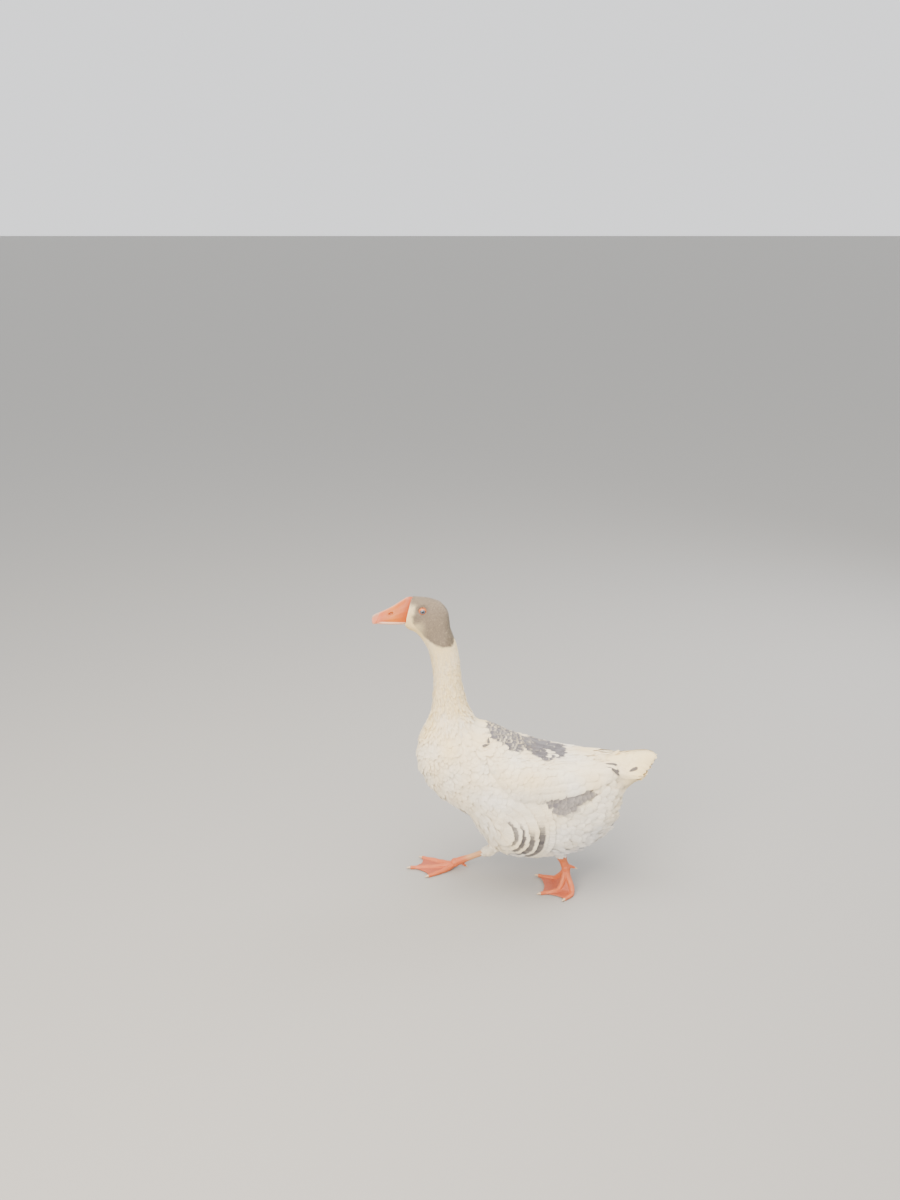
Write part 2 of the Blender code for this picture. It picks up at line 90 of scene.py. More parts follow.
# Feather sizes by CAD node: coat depth over the skin, length, width, spacing between roots.
TRACTS = {
    "head":        (1.3 * MM, 4.0 * MM, 1.7 * MM, 1.15 * MM),
    "neck":        (1.9 * MM, 10.0 * MM, 3.4 * MM, 2.25 * MM),
    "trunk":       (3.3 * MM, 24.0 * MM, 14.0 * MM, 5.8 * MM),
    "tail":        (2.4 * MM, 26.0 * MM, 13.0 * MM, 7.0 * MM),
    "wing_left":   (2.8 * MM, 19.0 * MM, 13.0 * MM, 5.0 * MM),
    "wing_right":  (2.8 * MM, 19.0 * MM, 13.0 * MM, 5.0 * MM),
    "thigh_left":  (3.3 * MM, 22.0 * MM, 13.0 * MM, 5.6 * MM),
    "thigh_right": (3.0 * MM, 17.0 * MM, 10.0 * MM, 4.6 * MM),
}


# ---------------------------------------------------------------- small tools
def ease(f):
    """0 to 1 with level ends."""
    f = np.clip(f, 0.0, 1.0)
    return f * f * (3 - 2 * f)


def step(value, start, end):
    """Smooth 0 to 1 as value goes from start to end."""
    return ease((value - start) / (end - start))


def mix(a, b, f):
    """The way from a to b at f."""
    return a + (b - a) * f


def unit(vectors):
    """Vectors at length 1."""
    return vectors / np.maximum(np.linalg.norm(vectors, axis=-1, keepdims=True), 1e-12)


def linear(code):
    """Linear RGBA of an sRGB hex colour."""
    parts = [int(code[i:i + 2], 16) / 255 for i in (1, 3, 5)]
    return tuple(c / 12.92 if c <= 0.04045 else ((c + 0.055) / 1.055) ** 2.4 for c in parts) + (1.0,)


def add_object(name, data):
    """A mesh, a lamp or a camera put into the scene."""
    ob = bpy.data.objects.new(name, data)
    bpy.context.scene.collection.objects.link(ob)
    return ob


def new_mesh(name, points, faces, *materials):
    """A mesh from lists, with its materials."""
    mesh = bpy.data.meshes.new(name)
    mesh.from_pydata(points, [], faces)
    for material in materials:
        mesh.materials.append(material)
    return mesh


def face_tree(mesh, points=None):
    """Search tree over a mesh's faces, at given points if its own aren't meant."""
    places = [v.co for v in mesh.vertices] if points is None else [Vector(p) for p in points]
    return BVHTree.FromPolygons(places, [p.vertices for p in mesh.polygons])


def applied(ob, name):
    """Plain mesh of an object with its modifiers evaluated; the object goes."""
    graph = bpy.context.evaluated_depsgraph_get()
    mesh = bpy.data.meshes.new_from_object(ob.evaluated_get(graph), depsgraph=graph)
    old = ob.data
    bpy.data.objects.remove(ob)
    bpy.data.meshes.remove(old)
    mesh.name = name
    return add_object(name, mesh)


def numbers(items, key, width=1, kind=np.float32):
    """One property of every item of a mesh as an array, in rows of width."""
    found = np.empty(len(items) * width, kind)
    items.foreach_get(key, found)
    return found.reshape(-1, width) if width > 1 else found


def points_of(mesh):
    """Places of the vertices."""
    return numbers(mesh.vertices, "co", 3).astype(float)


def normals_of(mesh):
    """Normals of the vertices."""
    return numbers(mesh.vertex_normals, "vector", 3).astype(float)


def edges_of(mesh):
    """Vertex numbers of both ends of each edge."""
    return numbers(mesh.edges, "vertices", 2, np.int32)


def set_points(mesh, points):
    """Moves every vertex to its new place."""
    mesh.vertices.foreach_set("co", np.asarray(points, np.float32).ravel())
    mesh.update()


def averaged(values, edges, rounds=1, keep=0.0):
    """Mean of each vertex's neighbours, some rounds over; keep is the share of its own value."""
    values = np.asarray(values, float)
    flat = values.reshape(len(values), -1)
    degree = np.bincount(edges.ravel(), minlength=len(flat))[:, None]
    for _ in range(rounds):
        total = np.stack([np.bincount(edges[:, 0], column[edges[:, 1]], len(flat))
                          + np.bincount(edges[:, 1], column[edges[:, 0]], len(flat)) for column in flat.T], 1)
        flat = keep * flat + (1 - keep) * total / np.maximum(degree, 1)
    return flat.reshape(values.shape)


def smoothed(mesh, rounds, back=0.57):
    """Taubin smoothing, which evens facets and keeps the size; back nearer 0.55 evens wider ones."""
    edges, points = edges_of(mesh), points_of(mesh)
    for _ in range(rounds):
        for push in (0.55, -back):
            points += push * (averaged(points, edges) - points)
    set_points(mesh, points)


def refined(name, nodes, voxel, rounds, swell=0.0):
    """CAD solids as one closed even-grained mesh, their facets smoothed away."""
    bm = bmesh.new()
    for node_name in nodes:
        bm.from_mesh(NODES[node_name].data)
    bmesh.ops.remove_doubles(bm, verts=bm.verts[:], dist=1e-6)
    bm.normal_update()
    for vertex in bm.verts:
        vertex.co += vertex.normal * swell
    mesh = bpy.data.meshes.new(name)
    bm.to_mesh(mesh)
    bm.free()
    ob = add_object(name, mesh)
    remesh = ob.modifiers.new("grain", "REMESH")
    remesh.mode = "VOXEL"
    remesh.voxel_size = voxel
    ob = applied(ob, name)
    smoothed(ob.data, rounds)
    ob.data.shade_smooth()
    return ob


def store(mesh, name, values):
    """Writes a number or a row of three per vertex as a named attribute."""
    if name in mesh.attributes:
        mesh.attributes.remove(mesh.attributes[name])
    values = np.asarray(values, np.float32)
    kind, key = ("FLOAT_VECTOR", "vector") if values.ndim > 1 else ("FLOAT", "value")
    mesh.attributes.new(name, kind, "POINT").data.foreach_set(key, values.ravel())


def read(mesh, name):
    """A named attribute as an array."""
    attribute = mesh.attributes[name]
    wide = attribute.data_type == "FLOAT_VECTOR"
    return numbers(attribute.data, "vector", 3) if wide else numbers(attribute.data, "value")


def add_node(tree, kind, inputs, stops=(), **settings):
    """One node with its settings; inputs maps a socket's name or number to a value or to another socket.

    stops are a colour ramp's places and hex colours.
    """
    node = tree.nodes.new(kind)
    for key, value in settings.items():
        setattr(node, key, value)
    for _ in stops[2:]:
        node.color_ramp.elements.new(0.5)
    for i, (place, code) in enumerate(stops):
        node.color_ramp.elements[i].position = place
        node.color_ramp.elements[i].color = linear(code)
    for key, value in inputs.items():
        if isinstance(value, bpy.types.NodeSocket):
            tree.links.new(value, node.inputs[key])
        else:
            node.inputs[key].default_value = value
    return node


def first_output(node):
    """The first socket that the node's settings leave in use."""
    return next(socket for socket in node.outputs if socket.enabled)


COLOUR = {"data_type": "RGBA"}                      # settings that many nodes share
TIMES = {"operation": "MULTIPLY"}
MULTIPLY_ADD = {"operation": "MULTIPLY_ADD"}
DISTANCE = {"operation": "DISTANCE"}


def grow(tree, rows, **known):
    """Nodes made row by row from (name, kind, inputs, settings); they come back by name.

    An input is a value, a #hex colour, or the name of a row above, with .Socket after it where it isn't the
    node's first output that is meant.
    """
    def found(value):
        if not isinstance(value, str):
            return value
        if value.startswith("#"):
            return linear(value)
        name, _, label = value.partition(".")
        source = known.get(name, value)
        if not isinstance(source, bpy.types.Node):
            return source
        return source.outputs[label] if label else first_output(source)

    for name, kind, inputs, *settings in rows:
        kind = kind if "Node" in kind else "ShaderNode" + kind
        inputs = {key: found(value) for key, value in inputs.items()}
        known[name] = add_node(tree, kind, inputs, **(settings[0] if settings else {}))
    return known


def make_material(name, rows=(), **sockets):
    """A material whose rows "colour" and "bump" drive its surface; sockets sets the shader's other values."""
    material = bpy.data.materials.new(name)
    material.use_nodes = True
    tree = material.node_tree
    shader = tree.nodes["Principled BSDF"]
    made = grow(tree, rows, where=add_node(tree, "ShaderNodeTexCoord", {}).outputs["Object"]) if rows else {}
    for row, label in (("colour", "Base Color"), ("bump", "Normal")):
        if row in made:
            tree.links.new(first_output(made[row]), shader.inputs[label])
    for label, value in sockets.items():
        shader.inputs[label.replace("_", " ")].default_value = value
    return material


# ---------------------------------------------------------------- camera, floor and lights
def set_stage():
    """Camera, plain floor and soft light: warm lamps overhead and in front, a cool one behind."""
    scene = bpy.context.scene
    camera = add_object("camera", bpy.data.cameras.new("camera"))
    camera.location = (2.33, -0.137, 1.42)
    camera.rotation_euler = (math.radians(71.5), 0.0, math.radians(90.0))
    camera.data.sensor_width = 36.0
    camera.data.lens = 36.69
    scene.camera = camera

    half = 40.0
    sheet = [(-half, -half, 0), (half, -half, 0), (half, half, 0), (-half, half, 0)]
    paint = make_material("matt_painted_floor", Base_Color=linear("#9E9C98"), Roughness=0.9)
    add_object("floor", new_mesh("floor", sheet, [(0, 1, 2, 3)], paint))

    lamps = (    # name, place, size, power, colour
        ("overhead", (0.7, -0.3, 2.6), 2.4, 128.0, "#FFF5E6"),
        ("front_left", (2.4, -1.3, 1.7), 1.6, 118.0, "#FFF2E0"),
        ("rear_right", (-1.4, 1.6, 1.7), 1.3, 42.0, "#F4F6FF"),
    )
    aim = Vector((0, 0, 0.3))
    for name, place, size, power, colour in lamps:
        lamp = bpy.data.lights.new(name, "AREA")
        lamp.size = size
        lamp.energy = power
        lamp.color = linear(colour)[:3]
        ob = add_object(name, lamp)
        ob.location = place
        ob.rotation_euler = (aim - Vector(place)).to_track_quat("-Z", "Y").to_euler()
    world = bpy.data.worlds.new("studio")
    world.use_nodes = True
    sky = world.node_tree.nodes["Background"]
    sky.inputs["Color"].default_value = linear("#F2F3F5")
    sky.inputs["Strength"].default_value = 1.55
    scene.world = world


# ---------------------------------------------------------------- the goose's surface and its lie
def harmonic(edges, count, fixed, values):
    """Even slope over a surface between fixed values, by conjugate gradients on its edges."""
    a, b = edges.T
    degree = np.bincount(edges.ravel(), minlength=count)
    free = np.ones(count)
    free[fixed] = 0.0
    level = np.full(count, float(np.mean(values)))
    level[fixed] = values

    def spring(x):
        return (degree * x - np.bincount(a, x[b], count) - np.bincount(b, x[a], count)) * free

    rest = -spring(level)
    push = rest.copy()
    size = rest @ rest
    for _ in range(900):
        pull = spring(push)
        share = size / (push @ pull)
        level += share * push
        rest -= share * pull
        smaller = rest @ rest
        if smaller < 1e-11:
            break
        push = rest + smaller / size * push
        size = smaller
    return level


def tangent_slope(points, normals, edges, level):
    """Direction along the surface in which level rises fastest, at each vertex."""
    a, b = edges.T
    across = points[b] - points[a]
    pull = across * ((level[b] - level[a]) / (across ** 2).sum(1))[:, None]
    slope = np.stack([np.bincount(a, column, len(points)) + np.bincount(b, column, len(points))
                      for column in pull.T], 1)
    for _ in range(12):
        slope -= normals * (slope * normals).sum(1)[:, None]
        slope = averaged(unit(slope), edges, keep=0.4)
    slope -= normals * (slope * normals).sum(1)[:, None]
    return unit(slope)


def node_shares(points, edges):
    """How much each surface point belongs to each flesh node, blended over their borders."""
    distances = []
    for node_name in FLESH:
        tree = face_tree(NODES[node_name].data)
        distances.append([tree.find_nearest(Vector(p))[3] for p in points])
    nearest = np.argmin(np.array(distances), axis=0)
    shares = averaged(np.eye(len(FLESH))[nearest], edges, rounds=9, keep=0.3)
    return shares / shares.sum(1)[:, None]


class Surface:
    """The coat's outer surface and, on the same vertices, everything that feathers need to know."""

    def __init__(self):
        self.outer = refined("outer_form", FLESH, 3.6 * MM, 9, swell=0.3 * MM)
        mesh = self.outer.data
        self.edges = edges_of(mesh)
        self.points = points_of(mesh)
        self.normals = unit(averaged(normals_of(mesh), self.edges, 2, 0.4))
        self.shares = node_shares(self.points, self.edges)
        self.level = self.flow_level()
        self.lie = tangent_slope(self.points, self.normals, self.edges, self.level)
        self.turn = self.turn_round()
        self.around = np.stack([np.cos(self.turn), np.sin(self.turn), self.level], 1)
        self.tree = face_tree(mesh, self.points)
        self.finder = KDTree(len(self.points))
        for i, point in enumerate(self.points):
            self.finder.insert(point, i)
        self.finder.balance()

    def share(self, *names):
        """How much each vertex belongs to some CAD nodes together."""
        return sum(self.shares[:, FLESH.index(name)] for name in names)

    def flow_level(self):
        """0 at the bill, 1 at the tail's tip; the coat lies down its slope, and out along the right thigh."""
        x, y, z = self.points.T
        bill = np.flatnonzero(y < HEAD_LOW[1] + 5 * MM)
        tail = np.flatnonzero(y > TAIL_HIGH[1] - 7 * MM)
        fixed = np.concatenate([bill, tail])
        values = np.concatenate([np.zeros(len(bill)), np.ones(len(tail))])
        level = harmonic(self.edges, len(self.points), fixed, values)
        ankle_low = corners("thigh_right")[0]
        ankle = np.flatnonzero((z < ankle_low[2] + 18 * MM) & (y < ankle_low[1] + 16 * MM) & (x < 0))
        knee = level[ankle].mean()
        fixed = np.concatenate([fixed, ankle])
        values = np.concatenate([values, np.full(len(ankle), knee + 0.05)])
        return harmonic(self.edges, len(self.points), fixed, values)

    def turn_round(self):
        """Angle round the body's middle line: 0 on the back, half a circle underneath."""
        count = 40
        bins = np.clip((self.level * count).astype(int), 0, count - 1)
        total = np.maximum(np.bincount(bins, minlength=count), 1)
        line = np.stack([np.bincount(bins, column, count) / total for column in self.points.T], 1)
        line[:, 0] = 0.0
        place = np.clip(self.level * count - 0.5, 0, count - 1)
        centre = np.stack([np.interp(place, np.arange(count), column) for column in line.T], 1)
        ahead = unit(np.gradient(line, axis=0))
        ahead = unit(np.stack([np.interp(place, np.arange(count), column) for column in ahead.T], 1))
        up = np.stack([np.zeros(len(place)), -ahead[:, 2], ahead[:, 1]], 1)
        offset = self.points - centre
        return np.arctan2(offset[:, 0], (offset * up).sum(1))

    def near(self, point):
        """Number of the vertex nearest to a point."""
        return self.finder.find(point)[1]

    def on_side(self, y, z, side=1):
        """Point of the surface that a level look from the left (+1) or right (-1) meets."""
        hit = self.tree.ray_cast(Vector((side * 0.4, y, z)), Vector((-side, 0, 0)))[0]
        return None if hit is None else np.array(hit)

    def from_above(self, x, y, face=-1):
        """Point of the surface that a look straight down (-1) or straight up (+1) meets."""
        return self.tree.ray_cast(Vector((x, y, 0.28 - 0.2 * face)), Vector((0, 0, face)))[0]


def up_neck(surface):
    """Height over the neck's foot as a share of the neck."""
    return (surface.points[:, 2] - NECK_LOW[2]) / (NECK_HIGH[2] - NECK_LOW[2])


def furrow_wave(surface):
    """Grooves of a goose's neck: they run down and back, and fade out at the head and the breast."""
    height = up_neck(surface)
    wander = 0.34 * np.array([noise.noise(Vector(p) * 42) for p in surface.points])
    wave = np.sin(21 * (np.abs(surface.turn) + wander) + 11.0 * height)
    room = step(height, 0.05, 0.30) * (1 - step(height, 0.86, 1.02))
    return wave, room * surface.share("neck", "trunk", "head")


def coat_sizes(surface):
    """Coat depth, feather length, width and spacing at each vertex."""
    table = np.array([TRACTS[name] for name in FLESH])
    sizes = surface.shares @ table
    y, z = surface.points.T[1:]
    fine = surface.share("neck") * (step(up_neck(surface), 0.0, 1.0) - 0.5)
    sizes *= (1 - 0.62 * fine)[:, None]
    face = surface.share("head") * step(-y, -HEAD_HIGH[1] + 0.035, -HEAD_LOW[1])
    sizes *= (1 - 0.30 * face)[:, None]
    breast = surface.share("trunk") * step(-y, 0.02, 0.16) * step(z, 0.10, 0.26)
    sizes[:, 1:] *= (1 - 0.28 * breast)[:, None]
    return sizes


# ---------------------------------------------------------------- markings
def wavering(points, scale, seed):
    """Soft noise from -1 to 1 at each point; scale is its waves per metre."""
    shift = Vector((seed * 3.7, seed * 1.3, seed * 2.1))
    return np.array([noise.noise(Vector(p) * scale + shift) for p in points])


def bill_border(points):
    """Distance behind the line where the feathers meet the bill, seen from the side."""
    top = np.array([-0.2140, BILL_HIGH[2]])
    foot = np.array([-0.2280, 0.5900])
    along = (foot - top) / np.linalg.norm(foot - top)
    back = np.array([-along[1], along[0]])
    return (points[:, 1:] - top) @ back


# How far the grey saddle reaches from the middle line: (place along the back, half width).
SADDLE_EDGE = ((-0.060, 0.030), (-0.050, 0.041), (-0.014, 0.048), (0.006, 0.047), (0.015, 0.029),
               (0.024, 0.033), (0.046, 0.044), (0.065, 0.043), (0.080, 0.030), (0.108, 0.020))

# Lower edge of the grey band under the folded wing: (place along the flank, height).
BAND_EDGE = ((0.044, 0.246), (0.070, 0.233), (0.085, 0.2175), (0.101, 0.2125), (0.126, 0.2215),
             (0.131, 0.232), (0.160, 0.245), (0.168, 0.262))


def markings(points, on_wing=0.0):
    """Plumage at each point: (grey, tan, dark) and stain, the warmth of the white.

    on_wing is 1 on the wings, which the band under them leaves white.
    """
    x, y, z = points.T
    aside = np.abs(x)
    soft = 1.5 * MM
    rag = 3.0 * MM * wavering(points, 120, 1) + 2.0 * MM * wavering(points, 420, 2)

    # Cap: its rim curves up towards the bill and is notched at the nape; the face and chin are paler.
    rim = NECK_HIGH[2] - 3 * MM + 11.0 * (y + 0.143) ** 2
    rim += 17 * MM * step(y, -0.136, -0.123) * np.exp(-(aside / (11 * MM)) ** 2)
    cap = step(z - rim + rag, -2 * MM, 2 * MM)
    blaze = (1 - step(bill_border(points) + rag, 8 * MM, 15 * MM)) * (1 - step(z, 0.628, 0.640))
    chin = (1 - step(z - 0.25 * (y + 0.21), 0.590, 0.602)) * (1 - step(y, -0.205, -0.180))
    cap *= 1 - np.maximum(0.92 * blaze, 0.60 * chin)
    # Painted shade: the back of the cap is darkened towards brown.
    nape_shade = cap * step(y, -0.150, -0.132)

    # Saddle: wider on the right side.
    half = np.interp(y, *zip(*SADDLE_EDGE)) + rag * (1 + 2.5 * step(y, 0.06, 0.10))
    half += 0.030 * step(-x, 0.0, 0.02)
    saddle = step(half - aside, -soft, soft) * step(y, -0.062, -0.056) * (1 - step(y + rag, 0.104, 0.108))
    saddle *= step(z, 0.280, 0.287)

    # Band under the folded wing, and painted shade: a faint grey in the fold low on the flank.
    band = step(z - np.interp(y, *zip(*BAND_EDGE)) + rag, -soft, soft) * step(y, 0.050, 0.058)
    band *= (1 - step(y, 0.160, 0.168)) * (1 - step(z, 0.262, 0.266)) * step(aside, 0.025, 0.035)
    band *= 1 - on_wing
    fold_shade = np.exp(-(((y - 0.020) / 0.030) ** 2 + ((z - 0.122) / 0.014) ** 2)) * step(aside, 0.050, 0.070)
    grey = np.maximum.reduce([cap, saddle, 0.95 * band, 0.35 * fold_shade])
    dark = np.maximum.reduce([0.75 * nape_shade, 0.50 * saddle, 0.25 * band])

    # The white is warmest up the neck and behind, and cleanest under the belly.
    stain = 0.50 + 0.50 * step(z, 0.24, 0.46) + 0.35 * wavering(points, 22, 3)
    stain += 0.35 * step(y, 0.10, 0.24) * step(z, 0.22, 0.27)
    stain -= 0.35 * (1 - step(z, 0.12, 0.24)) * step(y, 0.03, 0.10)
    return np.stack([grey, cap, dark], 1), np.clip(stain, 0, 1)


COOL_WHITE = "#F1F0EE"
CREAM = "#F4DDA6"
LILAC_GREY = "#6E6A70"
SLATE = "#48464D"
TAN_GREY = "#72655A"
# Dark brown of the painted shade at the back of the cap.
NAPE_SHADE_BROWN = "#45392F"


def plumage_material():
    """Feather keratin, unpigmented and grey: matt, with a soft sheen from its barbs, and paler vane edges.

    Tan specks are 1.1 mm wide, pale flecks 3 mm and cloudy shades 17 mm. Barbs are finer than the ridges,
    which come about 24 to a feather so that they show.
    """
    return make_material("feather_keratin", (
        ("mark", "Attribute", {}, {"attribute_name": "mark"}),
        ("tint", "Attribute", {}, {"attribute_name": "tint"}),
        ("blade", "Attribute", {}, {"attribute_name": "blade"}),
        ("marks", "SeparateXYZ", {0: "mark.Vector"}),       # grey, tan, dark
        ("tints", "SeparateXYZ", {0: "tint.Vector"}),       # stain, fringe, chance
        ("place", "SeparateXYZ", {0: "blade.Vector"}),      # across, along, rim
        ("white", "Mix", {0: "tints.X", 6: COOL_WHITE, 7: CREAM}, COLOUR),
        ("ash", "Mix", {0: "marks.Y", 6: LILAC_GREY, 7: TAN_GREY}, COLOUR),
        ("deep", "Mix", {0: "marks.Y", 6: SLATE, 7: NAPE_SHADE_BROWN}, COLOUR),
        ("plain", "Mix", {0: "marks.Z", 6: "ash", 7: "deep"}, COLOUR),
        ("speck", "TexNoise", {"Vector": "where", "Scale": 1 / (1.11 * MM), "Detail": 2.0}),
        ("specked", "MapRange", {0: "speck", 1: 0.45, 2: 0.70, 3: 0.0, 4: 0.10}),
        ("pigment", "Mix", {0: "specked", 6: "plain", 7: CREAM}, COLOUR),
        ("mottle", "TexNoise", {"Vector": "where", "Scale": 1 / (3.03 * MM), "Detail": 2.0}),
        ("mottled", "MapRange", {0: "mottle", 1: 0.62, 2: 0.68}),
        ("unfringed", "MapRange", {0: "tints.Y", 1: 0.90, 2: 1.0, 3: 1.0, 4: 0.0}),
        ("flecks", "Math", {0: "mottled", 1: "unfringed"}, TIMES),
        ("edge", "MapRange", {0: "place.Z", 1: 0.74, 2: 0.92}),
        ("paler", "Math", {0: "edge", 1: "flecks"}, {"operation": "MAXIMUM"}),
        ("pale", "Math", {0: "tints.Y", 1: "paler"}, TIMES),
        ("unpaled", "Math", {0: 1.0, 1: "pale"}, {"operation": "SUBTRACT"}),
        ("amount", "Math", {0: "marks.X", 1: "unpaled"}, TIMES),
        ("painted", "Mix", {0: "amount", 6: "white", 7: "pigment"}, COLOUR),
        ("drift", "TexNoise", {"Vector": "where", "Scale": 1 / (16.7 * MM), "Detail": 3.0}),
        ("cloud", "MapRange", {0: "drift", 1: 0.3, 2: 0.7, 3: 0.96, 4: 1.03}),
        ("own", "MapRange", {0: "tints.Z", 3: 0.94, 4: 1.02}),
        # Painted shade: each feather is darker over the half nearest its root, under the feathers that
        # overlap it.
        ("root", "MapRange", {0: "place.Y", 1: 0.0, 2: 0.5, 3: 0.92, 4: 1.0}),
        ("clouded", "Math", {0: "own", 1: "cloud"}, TIMES),
        ("shade", "Math", {0: "clouded", 1: "root"}, TIMES),
        ("shades", "CombineColor", {0: "shade", 1: "shade", 2: "shade"}),
        ("colour", "Mix", {0: 1.0, 6: "painted", 7: "shades"}, COLOUR | {"blend_type": "MULTIPLY"}),
        ("aside", "Math", {0: "place.X"}, {"operation": "ABSOLUTE"}),
        ("barbs", "Math", {0: "aside", 1: -0.35, 2: "place.Y"}, MULTIPLY_ADD),
        ("phase", "Math", {0: "barbs", 1: 150.0}, TIMES),
        ("ridges", "Math", {0: "phase"}, {"operation": "SINE"}),
        ("bump", "Bump", {"Height": "ridges", "Strength": 0.10, "Distance": 0.0002}),
    ), Roughness=0.68, Specular_IOR_Level=0.35, Sheen_Weight=0.18, Sheen_Roughness=0.45)


# ---------------------------------------------------------------- feathers
def vane(barbs, joints, split, rag, seed, fullest=0.74, tip_power=0.75, shaft=False):
    """Unit feather blade of barb strips: points (across -1 to 1, along, rim 0 to 1), small lifts and faces.

    split is how far the strips part towards the margin, rag how uneven the margin is.
    """
    rng = np.random.default_rng(seed)
    points, lifts, faces = [], [], []
    for side in (-1, 1):
        for k in range(barbs):
            lines = []
            for q in (k / barbs, (k + 1) / barbs):
                a = math.pi * q
                ahead = 0.05 + 0.95 * ((1 - math.cos(a)) / 2) ** fullest
                margin = np.array([math.sin(a) ** tip_power, ahead])
                lines.append((np.array([0.0, 0.01 + 0.95 * q ** 1.15]), margin))
            gap = split * rng.uniform(0.15, 1.0) ** 2
            reach = 1 + rag * rng.uniform(-1.0, 0.5)
            raised = rng.uniform(-1, 1)
            first = len(points)
            for j in range(joints + 1):
                f = j / joints
                low, high = [base + (margin - base) * f * reach for base, margin in lines]
                high = high + (low - high) * gap * f ** 1.4
                for at in (low, high):
                    rim = max(f, float(step(at[1], 0.62, 0.97)))
                    points.append((side * at[0], at[1], rim))
                    lifts.append(raised * f)
            for j in range(joints):
                a, b = first + 2 * j, first + 2 * j + 2
                faces.append((a, b, b + 1, a + 1) if side > 0 else (a, a + 1, b + 1, b))
    if shaft:
        rows = 9
        for i in range(rows + 1):
            y = 0.96 * i / rows
            half = 0.055 * (1 - 0.75 * y)
            for x, lift in ((-half, 0.0), (0.0, 4.0 * (1 - 0.6 * y)), (half, 0.0)):
                points.append((x, y, 0.0))
                lifts.append(lift)
            if i:
                a, b = len(points) - 6, len(points) - 3
                faces += [(a, a + 1, b + 1, b), (a + 1, a + 2, b + 2, b + 1)]
    return np.array(points), np.array(lifts), faces


# Kinds of small feather: barb strips a side, joints along a strip, split, rag, fullest, tip power, droop.
PATTERNS = {
    "velvet": (3, 1, 0.45, 0.18, 0.66, 0.90, 0.25),
    "hackle": (5, 2, 0.32, 0.10, 0.60, 1.00, 0.25),
    "contour": (13, 2, 0.22, 0.07, 0.70, 0.80, 0.18),
    "plume": (13, 2, 0.45, 0.16, 0.62, 0.95, 0.15),
}
VARIANTS = 5


def feather_patterns(kind):
    """Collection of unit feathers: 1 wide, 1 long, rising 1 from root to tip."""
    barbs, joints, split, rag, fullest, tip_power, droop = PATTERNS[kind]
    collection = bpy.data.collections.new("patterns_" + kind)
    for variant in range(VARIANTS):
        blade, lifts, faces = vane(barbs, joints, split, rag, 40 + variant, fullest, tip_power)
        x, y = blade.T[:2]
        bend = np.random.default_rng(variant).uniform(-0.07, 0.07)
        height = -0.12 + 1.12 * (1 - (1 - np.clip(y, 0, 1)) ** 1.7) - droop * x ** 2 + 0.04 * lifts
        mesh = new_mesh(f"{kind}_{variant}", np.stack([x / 2 + bend * y ** 2, y, height], 1), faces)
        store(mesh, "blade", blade)
        collection.objects.link(bpy.data.objects.new(mesh.name, mesh))
    return collection


def coat_tree(name, patterns, material):
    """Geometry Nodes: roots spread evenly over the skin, a feather on each along the lie, all made real."""
    tree = bpy.data.node_groups.new(name, "GeometryNodeTree")
    for label, kind in (("Skin", "Geometry"), ("Spacing", "Float"), ("Disorder", "Float"), ("Seed", "Int")):
        tree.interface.new_socket(label, in_out="INPUT", socket_type="NodeSocket" + kind)
    tree.interface.new_socket("Coat", in_out="OUTPUT", socket_type="NodeSocketGeometry")
    rows = [("given", "NodeGroupInput", {})]
    for label, kind in (("roots", "FLOAT"), ("outward", "FLOAT_VECTOR"), ("lie", "FLOAT_VECTOR"),
                        ("size", "FLOAT_VECTOR")):
        rows.append(("its_" + label, "GeometryNodeInputNamedAttribute", {"Name": label}, {"data_type": kind}))
    chances = (    # name, kind, number of its lowest value's socket, lowest, highest
        ("lot", "FLOAT", 2, 0.0, 1.0),
        ("swing", "FLOAT_VECTOR", 0, (-0.032, -0.06, -0.15), (0.032, 0.06, 0.15)),
        ("growth", "FLOAT_VECTOR", 0, (0.88, 0.86, 0.86), (1.12, 1.12, 1.10)),
        ("pick", "INT", 4, 0, VARIANTS - 1),
    )
    for offset, (label, kind, socket, low, high) in enumerate(chances, 1):
        rows += [(label + "_seed", "Math", {0: "given.Seed", 1: float(offset)}, {"operation": "ADD"}),
                 (label, "FunctionNodeRandomValue", {"Seed": label + "_seed", socket: low, socket + 1: high},
                  {"data_type": kind})]
    grow(tree, rows + [
        ("density", "Math", {0: "given.Spacing", 1: -2.0}, {"operation": "POWER"}),
        ("spread", "GeometryNodeDistributePointsOnFaces",
         {"Mesh": "given.Skin", "Distance Min": "given.Spacing", "Density Max": "density",
          "Density Factor": "its_roots", "Seed": "given.Seed"}, {"distribute_method": "POISSON"}),
        ("marked", "GeometryNodeStoreNamedAttribute",
         {"Geometry": "spread", "Name": "chance", "Value": "lot"}, {"data_type": "FLOAT", "domain": "POINT"}),
        ("stand", "FunctionNodeAxesToRotation", {0: "its_outward", 1: "its_lie"},
         {"primary_axis": "Z", "secondary_axis": "Y"}),
        ("sway", "VectorMath", {0: "swing", "Scale": "given.Disorder"}, {"operation": "SCALE"}),
        ("sway_turn", "FunctionNodeEulerToRotation", {0: "sway"}),
        ("turned", "FunctionNodeRotateRotation", {0: "stand", 1: "sway_turn"}, {"rotation_space": "LOCAL"}),
        ("scale", "VectorMath", {0: "its_size", 1: "growth"}, TIMES),
        ("shapes", "GeometryNodeCollectionInfo",
         {"Collection": patterns, "Separate Children": True, "Reset Children": True}),
        ("placed", "GeometryNodeInstanceOnPoints",
         {"Points": "marked", "Instance": "shapes", "Pick Instance": True, "Instance Index": "pick",
          "Rotation": "turned", "Scale": "scale"}),
        ("real", "GeometryNodeRealizeInstances", {"Geometry": "placed"}),
        ("dressed", "GeometryNodeSetMaterial", {"Geometry": "real", "Material": material}),
        ("result", "NodeGroupOutput", {0: "dressed"}),
    ])
    return tree


PATCH = 0.003           # share of the bake map's width that one feather takes


